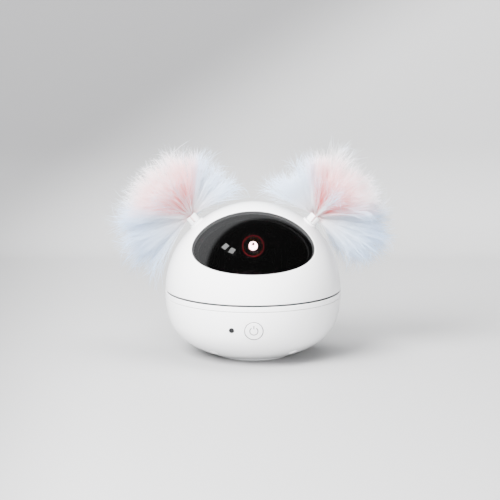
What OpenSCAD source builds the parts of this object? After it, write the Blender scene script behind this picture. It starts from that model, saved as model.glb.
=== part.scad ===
// Automatic cat laser toy: a domed turret that turns on a bowl-shaped base, with a laser on a tilting
// carriage behind a dark window and a feather plume plugged in at each side of the dome.
// Millimetres. The toy stands on z = 0, its front is -Y and the turret turns about Z.

/* [Body] */
// Radius of the round body, which is also the radius of the dome
body_r = 50; // [45:0.5:56]
// Height of the middle of the running gap between dome and base
seam_z = 37.4; // [36.4:0.2:42]
// Height of the running gap
run_gap = 1.0; // [0.8:0.1:1.6]
// Height of the dome's centre above the middle of the gap
head_rise = 0; // [0:0.1:3]
// Wall of the dome and of the bowl
wall = 2.2; // [1.6:0.1:2.6]
// Height of the base's top ring, from the middle of the gap down to its parting line
ring_h = 3.6; // [3:0.1:4.5]
// Radius of the base's side in profile
side_r = 48; // [46:0.2:58]
// How far below the gap the side of the base is widest
side_drop = 2.3; // [1:0.1:4]
// Angle at which the side turns into the lower corner
side_end = 18.9; // [15:0.1:22]
// Radius of the lower corner in profile
corner_r = 21.2; // [19:0.2:24]
// Angle at which the lower corner turns into the belly
corner_end = 56; // [55:0.5:62]
// Radius of the belly in profile
belly_r = 57; // [50:0.5:60]

/* [Foot] */
// How far the foot ring lifts the bowl off the floor
foot_drop = 1.0; // [0.8:0.1:1.5]
// How deep the foot ring sits in the bowl
foot_seat = 0.8; // [0.5:0.1:1.2]
// Width of the bowl's flat bottom outside the foot ring
foot_edge = 1.7; // [1:0.1:4]
// Width of the foot ring
foot_w = 5; // [3:0.5:7]

/* [Window] */
// Half the width of the dark window
window_a = 35; // [33:0.2:37]
// Half the height of the dark window
window_b = 21.8; // [20:0.2:23]
// How far the window looks up from level
window_tilt = 34; // [31:0.5:37]
// How far the window's middle lies above that line of sight
window_rise = 10.2; // [8:0.2:10.6]
// Width of the stepped lip round the window
lip_w = 0.5; // [0.3:0.1:0.8]
// Depth of the stepped lip round the window
lip_d = 0.5; // [0.3:0.1:0.8]
// Width of the window's gluing rim behind the dome
rim_w = 2.4; // [1.6:0.2:2.8]
// Thickness of the window's gluing rim
rim_t = 1.2; // [1:0.1:1.6]

/* [Laser] */
// Radius of the laser barrel
barrel_r = 6; // [5:0.25:6.5]
// Length of the laser barrel
barrel_len = 22; // [18:1:26]
// Gap between the laser and the window at the laser's highest tilt
laser_gap = 0.4; // [0.3:0.05:1]
// Highest tilt of the laser above level
tilt_up = 10; // [5:1:12]
// Height of the laser's tilt axis above the dome's centre
laser_rise = 30.3; // [28:0.1:31]
// How far the tilt axis lies in front of the turning axis
tilt_reach = 18; // [16:0.5:20]
// Wall of the cradle round the barrel
cradle_wall = 2; // [1.5:0.1:3]
// Radius of the tilt pivot pins
tilt_pin_r = 2; // [1.5:0.1:2.5]
// Radius of the laser's round lens
lens_r = 2.5; // [2:0.1:3]
// Half the distance between the outer faces of the tilt bracket's two sides
bracket_half = 19; // [18:0.5:20.5]
// Thickness of each side of the tilt bracket
bracket_t = 2.5; // [2:0.1:3]

/* [Gears] */
// Module of all gears
gear_m = 0.8; // [0.75:0.05:0.8]
// Teeth of the turret's drive gear
drive_teeth = 40; // [36:4:40]
// Teeth of the drive pinion
pinion_teeth = 14; // [12:2:14]
// Width of the drive gear
drive_gear_w = 4.8; // [4:0.1:5.5]
// Teeth that the tilt sector would have as a full gear
sector_teeth = 40; // [36:4:40]
// Teeth of the tilt pinion
tilt_teeth = 12; // [12:2:14]
// Width of the tilt sector
sector_w = 3; // [2.4:0.1:3.5]
// Play between gear flanks
backlash = 0.14; // [0.1:0.02:0.2]

/* [Bearing] */
// Radius of the turret's hub
hub_r = 7; // [6.5:0.25:8]
// Wall of the hub bush
bush_wall = 2; // [1.5:0.1:2.5]
// Radius of the hub bush's flange
bush_flange_r = 11; // [10.5:0.25:12]
// Thickness of the hub bush's flange
bush_flange_t = 1.2; // [1:0.1:1.3]
// Depth of the bearing boss below the deck
bearing_drop = 4.1; // [3.5:0.1:5]
// Side of the hub's square drive end
square_side = 9; // [8:0.1:9.2]
// Thickness of the deck and of the turntable
deck_t = 2; // [1.6:0.1:2.2]

/* [Motors] */
// Radius of the flat drive motor
drive_motor_r = 12; // [10:0.5:12.5]
// Height of the flat drive motor
drive_motor_h = 11.5; // [10:0.5:13]
// Distance from the drive gear down to the drive motor
motor_drop = 4; // [3:0.1:5]
// Radius of both motor shafts
shaft_r = 1.5; // [1:0.1:1.5]
// Length of the tilt motor with its gearbox
tilt_motor_len = 24; // [22:0.5:24]
// Depth of the tilt motor, front to back
tilt_motor_w = 12; // [10:0.5:12]
// Height of the tilt motor
tilt_motor_h = 10; // [8:0.5:10]

/* [Controls] */
// Radius of the power button's cap
button_r = 5.05; // [4.5:0.05:5.5]
// Gap round the button's cap in the bowl's face
button_gap = 0.4; // [0.15:0.05:0.45]
// How far the button's middle lies to the right
button_x = 0.4; // [-1:0.1:1]
// How far below the running gap the button's middle lies
button_drop = 14.5; // [13.6:0.1:16]
// Travel of the power button
button_travel = 0.5; // [0.3:0.1:0.6]
// How far the indicator's middle lies to the left
indicator_x = 12.2; // [11:0.1:13.5]
// Radius of the indicator's lens
indicator_r = 1.55; // [1.3:0.05:1.8]

/* [Feathers] */
// Angle of the feather plugs above level
ear_angle = 50; // [46:0.5:52]
// Radius of the ferrule that grips the feathers
ferrule_r = 3.3; // [3:0.1:3.6]
// Visible length of the ferrule
ferrule_len = 4.8; // [4:0.1:6]
// Radius of the low boss under the ferrule
ear_boss_r = 4.4; // [4:0.1:4.8]
// Height of the low boss above the dome
ear_boss_h = 0.9; // [0.6:0.1:1.5]
// Radius of the ferrule's plug in its socket
plug_r = 2.6; // [2.2:0.1:2.7]
// Depth of the plug in its socket
plug_len = 8; // [6:0.5:9]
// Length of the longest pale feathers
plume_len = 44; // [38:1:46]
// Length of the pink feathers in the middle
tuft_len = 27; // [22:1:30]

/* [Battery and boards] */
// Radius of the battery cell
cell_r = 7; // [6.5:0.25:7]
// Length of the battery cell
cell_len = 50; // [44:1:50]
// How far the battery lies behind the turning axis
cell_back = 24; // [23:0.5:25]
// Thickness of the circuit boards
board_t = 1.6; // [1:0.1:1.6]

/* [Fasteners] */
// Radius of the casing screws' thread
screw_r = 1.25; // [1:0.05:1.4]
// Radius of the casing screws' head
screw_head_r = 2.3; // [2:0.1:2.4]
// Height of the casing screws' head
screw_head_h = 1.5; // [1.2:0.1:1.6]
// Radius of the small board screws' thread
small_screw_r = 0.9; // [0.7:0.05:1]
// Radius of the small board screws' head
small_head_r = 1.7; // [1.5:0.1:1.8]
// Height of the small board screws' head
small_head_h = 1.2; // [1:0.1:1.4]

/* [Fits] */
// Radial clearance of turning and sliding fits
fit = 0.05; // [0.03:0.01:0.08]
// Clearance between pieces that are glued or pressed together
seat = 0.02; // [0.01:0.01:0.04]
// Clearance between pieces that only lie side by side
clear = 0.3; // [0.25:0.05:0.4]

/* [Hidden] */
$fn = 96;
eps = 0.01;

// Colours
white = "#f2f2f3";
dark = "#202124";
board_green = "#1f5a3c";
steel = "#b9bcc0";
brass = "#c9a25a";

// What has to fit inside the body keeps its share of it: this is 1 at the usual radius
usual_r = 50;
room = body_r / usual_r;

// Heights of the main levels
head_c = seam_z + head_rise;
base_top = seam_z - run_gap / 2;
head_low = seam_z + run_gap / 2;
deck_z = seam_z - ring_h;
deck_top = deck_z + deck_t;
table_top = head_low + deck_t;
floor_in = foot_drop + wall;

// Centres of the three arcs of the base's profile, as [distance from the axis, height]
side_c = [body_r - sqrt(side_r * side_r - side_drop * side_drop), seam_z - side_drop];
corner_c = side_c + (side_r - corner_r) * [cos(side_end), -sin(side_end)];
belly_c = corner_c + (corner_r - belly_r) * [cos(corner_end), -sin(corner_end)];
side_low = side_c[1] - side_r * sin(side_end);
corner_low = corner_c[1] - corner_r * sin(corner_end);
foot_r = bowl_x(foot_drop) - foot_edge;

// Distance of an arc from the axis at a height, and of the whole profile
function arc_x(c, r, z) = c[0] + sqrt(r * r - (z - c[1]) * (z - c[1]));
function bowl_x(z, inset = 0) =
    z > side_low ? arc_x(side_c, side_r - inset, z)
    : z > corner_low ? arc_x(corner_c, corner_r - inset, z)
    : arc_x(belly_c, belly_r - inset, z);
function arc_points(c, r, from, to) =
    [for (i = [0 : arc_steps]) c + r * [cos(from + (to - from) * i / arc_steps),
                                        -sin(from + (to - from) * i / arc_steps)]];
arc_steps = 14;

// Solid of revolution inside the base's profile, between two heights
module bowl_solid(inset, low, high) {
    top_angle = asin((side_c[1] - high) / (side_r - inset));
    belly_angle = asin((belly_c[1] - low) / (belly_r - inset));
    side = arc_points(side_c, side_r - inset, top_angle, side_end);
    corner = arc_points(corner_c, corner_r - inset, side_end, corner_end);
    belly = arc_points(belly_c, belly_r - inset, corner_end, belly_angle);
    rotate_extrude()
        polygon(concat([[0, high]], side,
                       [for (i = [1 : arc_steps]) corner[i]],
                       [for (i = [1 : arc_steps]) belly[i]],
                       [[0, low]]));
}

module upper_solid(inset, low, high) {
    top_angle = asin((side_c[1] - high) / (side_r - inset));
    low_angle = asin((side_c[1] - low) / (side_r - inset));
    rotate_extrude()
        polygon(concat([[0, high]], arc_points(side_c, side_r - inset, top_angle, low_angle), [[0, low]]));
}

module ring(r_out, r_in, h) {
    difference() {
        cylinder(r = r_out, h = h);
        translate([0, 0, -1])
            cylinder(r = r_in, h = h + 2);
    }
}

// Block with its middle at the origin in x and y and its foot at z = 0
module block(size) {
    translate([-size[0] / 2, -size[1] / 2, 0])
        cube(size);
}

// Screw with its head's seat at z = 0 and its thread along +Z
module screw(thread_r, length, head_r, head_h) {
    cylinder(r = thread_r, h = length);
    difference() {
        translate([0, 0, -head_h])
            cylinder(r = head_r, h = head_h);
        translate([0, 0, -head_h / 2])
            for (turn = [0, 90])
                rotate([180, 0, turn])
                    block([head_r * 1.2, head_r * 0.28, head_h]);
    }
}

// Involute gear outline
press_angle = 20;
function inv_angle(base_radius, r) =
    r <= base_radius ? 0
    : tan(acos(base_radius / r)) * 180 / PI - acos(base_radius / r);
addendum = 0.92;
dedendum = 1.25;
function gear_radius(teeth) = gear_m * room * teeth / 2;
function tip_radius(teeth) = gear_radius(teeth) + addendum * gear_m * room;
function root_radius(teeth) = gear_radius(teeth) - dedendum * gear_m * room;
function half_tooth(teeth, r) =
    90 / teeth - backlash / 4 / gear_radius(teeth) * 180 / PI
    + inv_angle(gear_radius(teeth) * cos(press_angle), gear_radius(teeth))
    - inv_angle(gear_radius(teeth) * cos(press_angle), r);
flank_steps = 4;
module gear_outline(teeth) {
    root = root_radius(teeth);
    tip = tip_radius(teeth);
    polygon([for (k = [0 : teeth - 1], s = [0 : 2 * flank_steps + 1])
        let (side = s <= flank_steps ? -1 : 1,
             step = s <= flank_steps ? s : 2 * flank_steps + 1 - s,
             r = root + (tip - root) * step / flank_steps,
             a = k * 360 / teeth + side * half_tooth(teeth, r))
        r * [cos(a), sin(a)]]);
}

// Tube with eight sides along a list of points
function unit(v) = v / norm(v);
function path_dir(p, i) =
    i == 0 ? unit(p[1] - p[0])
    : i == len(p) - 1 ? unit(p[i] - p[i - 1])
    : unit(unit(p[i + 1] - p[i]) + unit(p[i] - p[i - 1]));
function first_side(d) = cross(d, abs(d[2]) < 0.8 ? [0, 0, 1] : [0.3, 1, 0]);
// One direction across the path at each point, carried along so that the lead doesn't twist
function sides(points, i = 0, before = undef) =
    i == len(points) ? [] :
    let (d = path_dir(points, i),
         u = unit(before == undef ? first_side(d) : before - (before * d) * d))
    concat([u], sides(points, i + 1, u));
// Smooth curve that passes through every point of a list, straight along its first and last steps
curve_steps = 4;
function curve_at(a, b, c, d, t) =
    b + t / 2 * (c - a) + t * t / 2 * (2 * a - 5 * b + 4 * c - d) + t * t * t / 2 * (3 * b - a - 3 * c + d);
function curve(p) =
    concat([p[0]],
           [for (i = [1 : len(p) - 3], s = [0 : curve_steps - 1])
                curve_at(p[i - 1], p[i], p[i + 1], p[i + 2], s / curve_steps)],
           [p[len(p) - 2], p[len(p) - 1]]);
module lead(points, r) {
    corners = 8;
    n = len(points);
    across = sides(points);
    rings = [for (i = [0 : n - 1])
        let (u = across[i], v = cross(path_dir(points, i), u))
        for (k = [0 : corners - 1])
            points[i] + r * (cos(k * 360 / corners) * u + sin(k * 360 / corners) * v)];
    walls = [for (i = [0 : n - 2], k = [0 : corners - 1])
        let (t = (k + 1) % corners)
        [i * corners + k, (i + 1) * corners + k, (i + 1) * corners + t, i * corners + t]];
    ends = [[for (k = [0 : corners - 1]) k],
            [for (k = [corners - 1 : -1 : 0]) (n - 1) * corners + k]];
    polyhedron(points = rings, faces = concat(walls, ends));
}

// Casing posts and screws
casing_angles = [25, 155, 230, 310];
casing_ring_r = 35 * room;
casing_post_r = 3.3;
casing_seat_z = 10;
casing_screw_len = 12;
pilot_play = 0.15;
module at_casing_posts() {
    for (a = casing_angles)
        rotate(a)
            translate([casing_ring_r, 0, 0])
                children();
}
head_post_angles = [10, 90, 170];
head_post_inset = 10 * room;
head_post_r = 3.2;
head_screw_len = 8;
module at_head_posts() {
    for (a = head_post_angles)
        rotate(a)
            translate([body_r - head_post_inset, 0, 0])
                children();
}

// Drive train
drive_centre = gear_radius(drive_teeth) + gear_radius(pinion_teeth);
gear_play = 0.5;
gear_top = deck_z - bearing_drop - gear_play;
gear_low = gear_top - drive_gear_w;
motor_top = gear_low - motor_drop;
motor_r = drive_motor_r * room;
motor_low = motor_top - drive_motor_h * room;
motor_tab = [3, 1.6, 0.5];
motor_tab_y = 3;
motor_boss_r = 3.5;
motor_boss_h = 1.5;
shaft_sunk = 4;
cradle_t = 1.5;
cradle_high = 6.5;
cradle_ledge = 2.6;
clamp_post_r = 2.2;
clamp_post_x = 7.4 * room;
clamp_post_y = 6 * room;
washer_t = 1.5;
washer_r = 8;
bush_out = hub_r + fit + bush_wall;
thrust_gap = 0.1;
bush_top = deck_top + bush_flange_t;

// Turntable skirt and deck lip
lip_t = 3.2;
skirt_gap = 0.5;
skirt_t = 1.6;
skirt_r = body_r - lip_t - skirt_gap;
skirt_drop = 1.5;

// Button and indicator
button_z = seam_z - button_drop;
button_front = bowl_x(button_z);
button_depth = 4.9;
button_back_y = -button_front + button_depth;
button_flange_t = 1.2;
button_flange = 1;
button_stem_r = 2;
guide_wall = 1.4;
face_gap_depth = 0.9;
button_room = 10.9;
board_face_y = -button_front + button_room;
button_board_t = 1.2;
button_board_up = 5;
button_board_down = 6.5;
button_board_edge = 3;
switch_side = 6;
switch_depth = 3.2;
plunger_r = 1.7;
plunger_len = 1.1;
recess_play = 0.3;
lens_x = indicator_x * room;
lens_sunk = 1.3;
lens_flange = 0.8;
lens_dome = 0.3;
lens_room = 1.5;
mount_post_r = 2.2;
mount_x = lens_x + indicator_r + lens_flange + clear + mount_post_r;

// Boards in the base
main_board_z = 8;
main_board_x = [5, 27] * room;
main_board_y = [-15, 12] * room;
main_board_holes = [[8, -12], [24, -12], [24, 9]] * room;
hole_play = 0.1;
thread_play = 0.05;
board_screw_len = 5;
pilot_extra = 0.5;
cell_y = cell_back * room;
charge_z = 13;
charge_half = 9;
charge_gap = 0.4;
charge_rim = sqrt(pow(bowl_x(charge_z, wall), 2) - charge_half * charge_half);
charge_y = [cell_y + cell_r + charge_gap, charge_rim - hole_play];
charge_hole_x = 6.6;
charge_hole_y = charge_y[0] + 2.2;
charge_screw_len = 4;
usb_w = 9;
usb_h = 3.3;
usb_len = 7.4;
usb_inset = 0.9;
usb_z = charge_z + board_t;

// Battery
cell_z = 17;
trough_t = 1.2;
trough_half_y = 6.5;
end_wall = 1.3;
contact_room = 1.3;
contact_t = 0.4;
contact_size = [9, 7];
holder_lip = 4;
cap_len = 1;
cell_half = cell_len * room / 2;
holder_half = cell_half + contact_room + end_wall;
peg_x = 18 * room;

// Slip disc and brushes
slip_in = 13;
slip_out = 21;
slip_t = 0.8;
track_t = 0.05;
track_w = 2;
track_mid = [15.2, 18.8];
brush_gap = 0.12;
brush_x = 27;
brush_size = [8, 9, 1];
brush_slot = [3, 6];
leaf_t = 0.2;
leaf_w = 1.8;
leaf_nose = 1;
leaf_back = 3;
brush_y = 2.4;

// Head
inner_r = body_r - wall;
glue_gap = 0.1;
window_in = inner_r - glue_gap - rim_t;
win_a = window_a * room;
win_b = window_b * room;
win_rise = window_rise * room;
laser_up = laser_rise * room;
laser_z = head_c + laser_up;
pivot_y = tilt_reach * room;
barrel_out = barrel_r * room;
tilt_centre = gear_radius(sector_teeth) + gear_radius(tilt_teeth);
tilt_motor_z = laser_z - tilt_centre;
bracket_x = bracket_half * room;
sector_gap = 1;
sector_x = bracket_x - bracket_t - sector_gap - sector_w;
motor_gap = 0.6;
motor_front_x = sector_x - motor_gap;
tilt_len = tilt_motor_len * room;
bracket_w = 11;
bracket_top_r = 4.4 * room;
bracket_foot = 7;
bracket_foot_t = 2.2;
bracket_hole_y = 3.2;
clip_t = 1.2;
clip_w = 7;
clip_foot = 5;
clip_x = -3;
cradle_out = barrel_out + cradle_wall;
cradle_back = 6;
cradle_lip = 2;
shoulder_r = 3.2;
ring_stroke = 0.6;
ring_t = 0.4;
ring_out = barrel_out + ring_stroke / 2;
standoff_h = 4.5;
head_board_z = table_top + standoff_h;
head_board_half = 16 * room;
head_board_y = [10, 32] * room;
head_board_holes = [[-13, 13], [13, 13], [-13, 29], [13, 29]] * room;
head_board_screw_len = 4.5;
standoff_r = 2.1;

// Reach of the laser in front of its tilt axis at which the top of its ring, at the highest tilt,
// still clears the window's inner sphere
clear_r = window_in - laser_gap;
pivot_ahead = pivot_y * cos(tilt_up) + laser_up * sin(tilt_up);
pivot_above = laser_up * cos(tilt_up) - pivot_y * sin(tilt_up);
ring_reach = sqrt(pivot_ahead * pivot_ahead
                  + clear_r * clear_r - pivot_y * pivot_y - laser_up * laser_up
                  - ring_out * ring_out - 2 * ring_out * pivot_above) - pivot_ahead;
barrel_reach = pivot_y + ring_reach - ring_t;

// Ear sockets
ear_out = body_r + ear_boss_h;
socket_len = 9.6;
sleeve_wall = 1.5;
quill_r = 1.9;
quill_sunk = 4;
slit_w = 0.9;
slit_low = 0.6;
vane_t = 0.7;

// Puts children on the ear axis, z along the plug and z = 0 at the dome's centre
module on_ear(side) {
    translate([0, 0, head_c])
        rotate([0, side * (90 - ear_angle), 0])
            children();
}

// Puts children on the window's line of sight, z along it and y up across it
module on_window() {
    translate([0, 0, head_c])
        rotate([90 - window_tilt, 0, 0])
            translate([0, win_rise, 0])
                children();
}
module window_cutter(grow) {
    on_window()
        linear_extrude(body_r + 10)
            polygon([for (i = [0 : window_steps - 1])
                [(win_a + grow) * cos(i * 360 / window_steps),
                 (win_b + grow) * sin(i * 360 / window_steps)]]);
}
window_steps = 72;

// ---------------------------------------------------------------- base

module base_bowl() {
    color(white)
    difference() {
        bowl_solid(0, foot_drop, deck_z);
        // hollow, less everything that stands up from the floor inside it
        difference() {
            bowl_hollow();
            at_casing_posts()
                cylinder(r = casing_post_r, h = casing_seat_z + wall);
            translate([-drive_centre, 0, 0]) {
                ring(motor_r + seat + cradle_t, motor_r - cradle_ledge, motor_low);
                ring(motor_r + seat + cradle_t, motor_r + seat, motor_low + cradle_high);
            }
            for (p = main_board_holes)
                translate([p[0], p[1], 0])
                    cylinder(r = standoff_r, h = main_board_z);
            for (x = [-charge_hole_x, charge_hole_x])
                translate([x, charge_hole_y, 0])
                    cylinder(r = standoff_r, h = charge_z);
            for (x = [-peg_x, peg_x])
                translate([x, cell_y - trough_half_y + standoff_r, 0])
                    cylinder(r = standoff_r, h = cell_z - cell_r - trough_t);
            for (x = [-mount_x, mount_x])
                translate([x, board_face_y, button_z])
                    rotate([90, 0, 0])
                        cylinder(r = mount_post_r, h = body_r);
            translate([button_x, button_back_y, button_z])
                rotate([90, 0, 0])
                    cylinder(r = button_r + fit + guide_wall, h = body_r);
        }
        // casing screws come up from below
        at_casing_posts() {
            translate([0, 0, -1])
                cylinder(r = screw_head_r + clear, h = casing_seat_z + 1);
            cylinder(r = screw_r + pilot_play, h = body_r);
        }
        // seat of the foot ring
        translate([0, 0, foot_drop - 1])
            ring(foot_r, foot_r - foot_w, 1 + foot_seat);
        // button bore, and the wider gap at the face
        translate([button_x, 0, button_z])
            rotate([90, 0, 0]) {
                cylinder(r = button_r + fit, h = body_r + 5);
                translate([0, 0, button_front - face_gap_depth])
                    cylinder(r = button_r + button_gap, h = 5);
            }
        // indicator bore
        translate([-lens_x, 0, button_z])
            rotate([90, 0, 0])
                cylinder(r = indicator_r + seat, h = body_r + 5);
        // charging inlet
        translate([0, 0, usb_z + usb_h / 2])
            usb_shape(clear, charge_y[1], body_r + 5);
        // thread pilots of the board screws
        for (p = main_board_holes)
            translate([p[0], p[1], main_board_z + board_t - board_screw_len - pilot_extra])
                cylinder(r = small_screw_r, h = board_screw_len);
        for (x = [-charge_hole_x, charge_hole_x])
            translate([x, charge_hole_y, charge_z + board_t - charge_screw_len - pilot_extra])
                cylinder(r = small_screw_r, h = charge_screw_len);
        for (x = [-mount_x, mount_x])
            translate([x, board_face_y + 1, button_z])
                rotate([90, 0, 0])
                    cylinder(r = small_screw_r, h = button_screw_len + pilot_extra);
    }
}

// Hollow of the bowl, with a flat floor
module bowl_hollow() {
    bowl_solid(wall, floor_in, deck_z + 0.5);
}

// Rounded-end inlet shape along +Y between two distances from the axis
module usb_shape(grow, from, to) {
    r = usb_h / 2 + grow;
    half = usb_w / 2 - usb_h / 2;
    translate([0, to, 0])
        rotate([90, 0, 0])
            linear_extrude(to - from)
                union() {
                    square([2 * half, 2 * r], center = true);
                    for (x = [-half, half])
                        translate([x, 0])
                            circle(r = r);
                }
}

module base_deck() {
    color(white)
    difference() {
        union() {
            difference() {
                upper_solid(0, deck_z, base_top);
                translate([0, 0, deck_top])
                    cylinder(r = body_r - lip_t, h = ring_h);
            }
            translate([0, 0, deck_z - bearing_drop])
                cylinder(r = bush_out + seat + bearing_wall, h = bearing_drop + eps);
            at_casing_posts()
                translate([0, 0, casing_seat_z + wall])
                    cylinder(r = casing_post_r, h = deck_z - casing_seat_z - wall + eps);
            // posts that hold the drive motor down
            for (y = [-clamp_post_y, clamp_post_y])
                translate([-drive_centre - clamp_post_x, y, motor_top])
                    cylinder(r = clamp_post_r, h = deck_z - motor_top + eps);
            // spigot that centres the deck in the bowl
            translate([0, 0, deck_z - spigot_h])
                ring(bowl_x(deck_z - spigot_h, wall) - spigot_gap,
                     bowl_x(deck_z - spigot_h, wall) - spigot_gap - spigot_t, spigot_h + eps);
        }
        translate([0, 0, deck_z - bearing_drop - 1])
            cylinder(r = bush_out + seat, h = body_r);
        at_casing_posts()
            cylinder(r = screw_r, h = casing_seat_z + casing_screw_len + 2);
        // slot that the brush leads pass through
        translate([brush_x, 0, deck_z - 1])
            block([brush_slot[0], brush_slot[1], deck_t + 2]);
    }
}
bearing_wall = 2.2;
spigot_h = 1.6;
spigot_gap = 0.15;
spigot_t = 1.35;

module foot_ring() {
    color("#c9cacc")
    ring(foot_r - seat, foot_r - foot_w + seat, foot_drop + foot_seat);
}

module base_screws() {
    color(steel)
    at_casing_posts()
        translate([0, 0, casing_seat_z])
            screw(screw_r, casing_screw_len, screw_head_r, screw_head_h);
}

module hub_bush() {
    color("#e3dcc4")
    difference() {
        union() {
            translate([0, 0, deck_z - bearing_drop])
                cylinder(r = bush_out, h = bearing_drop + deck_t + eps);
            translate([0, 0, deck_top])
                cylinder(r = bush_flange_r, h = bush_flange_t);
        }
        translate([0, 0, deck_z - bearing_drop - 1])
            cylinder(r = hub_r + fit, h = body_r);
    }
}

module drive_motor() {
    color(steel)
    translate([-drive_centre, 0, 0])
        difference() {
            union() {
                translate([0, 0, motor_low])
                    cylinder(r = motor_r, h = motor_top - motor_low);
                translate([0, 0, motor_top])
                    cylinder(r = motor_boss_r, h = motor_boss_h);
                // two solder tabs on the side
                for (y = [-motor_tab_y, motor_tab_y])
                    translate([motor_r, y, motor_top - motor_tab_y])
                        block(motor_tab);
            }
            translate([0, 0, motor_top - shaft_sunk])
                cylinder(r = shaft_r + fit, h = shaft_sunk + motor_boss_h + 1);
        }
}

module battery_cell() {
    color("#3a6ea5")
    translate([-cell_half, cell_y, cell_z])
        rotate([0, 90, 0]) {
            cylinder(r = cell_r, h = 2 * cell_half - cap_len);
            cylinder(r = cell_r / 2.6, h = 2 * cell_half);
        }
}

module battery_holder() {
    color(dark)
    intersection() {
        difference() {
            translate([0, cell_y, cell_z - cell_r - trough_t])
                block([2 * holder_half, 2 * trough_half_y, cell_r + trough_t + holder_lip]);
            // trough for the cell, and room for the contacts
            translate([-cell_half - contact_room, cell_y, cell_z])
                rotate([0, 90, 0])
                    cylinder(r = cell_r + seat, h = 2 * (cell_half + contact_room));
            translate([0, cell_y, cell_z])
                block([2 * (cell_half + contact_room), 2 * trough_half_y + 2, cell_r + trough_t]);
        }
        bowl_solid(wall + clear, floor_in, deck_z);
    }
}

module battery_contacts() {
    color(brass)
    for (side = [-1, 1])
        translate([side * (cell_half + contact_room - contact_t), cell_y, cell_z])
            rotate([0, side * 90, 0]) {
                block([contact_size[0], contact_size[1], contact_t - seat]);
                // springy nose that presses on the cell's end
                translate([0, 0, -(contact_room - contact_t - seat)])
                    cylinder(r1 = nose_r[0], r2 = nose_r[1], h = contact_room - contact_t);
            }
}

nose_r = [1.6, 2.8];

module main_board() {
    color(board_green)
    difference() {
        translate([main_board_x[0], main_board_y[0], main_board_z])
            cube([main_board_x[1] - main_board_x[0], main_board_y[1] - main_board_y[0], board_t]);
        for (p = main_board_holes)
            translate([p[0], p[1], 0])
                cylinder(r = small_screw_r + hole_play, h = body_r);
    }
}

module board_chips() {
    color(dark)
    translate([0, 0, main_board_z + board_t]) {
        for (i = [0 : len(chip_sizes) - 1])
            translate(chip_places[i])
                block(chip_sizes[i]);
        translate(can_place)
            cylinder(r = can_r, h = can_h);
    }
}
chip_places = [[15.8, -3.4, 0], [22.5, 2, 0], [12, -11.5, 0], [16, -11.5, 0], [20, -11.5, 0]] * room;
chip_sizes = [[5.4, 5.4, 1], [4, 5, 1.4], [1.6, 0.9, 0.6], [1.6, 0.9, 0.6], [1.6, 0.9, 0.6]];
can_place = [10, 7, 0] * room;
can_r = 2.5;
can_h = 6;

module board_sockets() {
    color("#ece8dc")
    translate([0, 0, main_board_z + board_t])
        for (p = socket_places)
            translate(p)
                difference() {
                    block(plug_socket);
                    translate([0, 0, socket_floor])
                        block(plug_socket - 2 * socket_wall * [1, 1, 0]);
                }
}
socket_places = [[22.5, -5.5, 0], [16.5, 8.5, 0], [9, -7.5, 0]] * room;
plug_socket = [6, 4, 4.5];
socket_wall = 0.7;
socket_floor = 1;

module board_screws() {
    color(steel)
    for (p = main_board_holes)
        translate([p[0], p[1], main_board_z + board_t])
            mirror([0, 0, 1])
                screw(small_screw_r - thread_play, board_screw_len, small_head_r, small_head_h);
}

module button_board() {
    color(board_green)
    difference() {
        translate([-mount_x - button_board_edge, board_face_y, button_z - button_board_down])
            cube([2 * (mount_x + button_board_edge), button_board_t, button_board_down + button_board_up]);
        for (x = [-mount_x, mount_x])
            translate([x, 0, button_z])
                rotate([90, 0, 0])
                    cylinder(r = small_screw_r + hole_play, h = body_r);
    }
}

module button_board_screws() {
    color(steel)
    for (x = [-mount_x, mount_x])
        translate([x, board_face_y + button_board_t, button_z])
            rotate([90, 0, 0])
                screw(small_screw_r - thread_play, button_screw_len, small_head_r, small_head_h);
}
button_screw_len = 4.5;

module tact_switch() {
    color(dark)
    translate([button_x, board_face_y, button_z])
        rotate([90, 0, 0])
            difference() {
                block([switch_side, switch_side, switch_depth]);
                translate([0, 0, switch_depth - plunger_sunk - button_travel - recess_play])
                    cylinder(r = plunger_r + fit, h = switch_depth);
            }
}

module indicator_lens() {
    color("#26262c")
    translate([-lens_x, 0, button_z])
        rotate([90, 0, 0]) {
            translate([0, 0, indicator_back])
                cylinder(r = indicator_r + lens_flange, h = lens_flange);
            translate([0, 0, indicator_back])
                cylinder(r = indicator_r, h = indicator_front - indicator_back);
            translate([0, 0, indicator_front])
                cylinder(r1 = indicator_r, r2 = indicator_r - 2 * lens_dome, h = lens_dome);
        }
}
indicator_front = sqrt(pow(bowl_x(button_z), 2) - lens_x * lens_x) - lens_sunk;
indicator_back = sqrt(pow(bowl_x(button_z, wall), 2) - pow(lens_x + indicator_r + lens_flange, 2)) - lens_room;

module indicator_led() {
    color("#e8e4d8")
    translate([-lens_x, board_face_y, button_z])
        rotate([90, 0, 0]) {
            block(lamp_size);
            cylinder(r = lamp_r, h = indicator_back + board_face_y - lamp_gap);
        }
}
lamp_size = [2.8, 3.5, 1.2];
lamp_r = 1.2;
lamp_gap = 0.2;

module charge_board() {
    color(board_green)
    difference() {
        translate([-charge_half, charge_y[0], charge_z])
            cube([2 * charge_half, charge_y[1] - charge_y[0], board_t]);
        for (x = [-charge_hole_x, charge_hole_x])
            translate([x, charge_hole_y, 0])
                cylinder(r = small_screw_r + hole_play, h = body_r);
    }
}

module charge_board_screws() {
    color(steel)
    for (x = [-charge_hole_x, charge_hole_x])
        translate([x, charge_hole_y, charge_z + board_t])
            mirror([0, 0, 1])
                screw(small_screw_r - thread_play, charge_screw_len, small_head_r, small_head_h);
}

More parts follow.
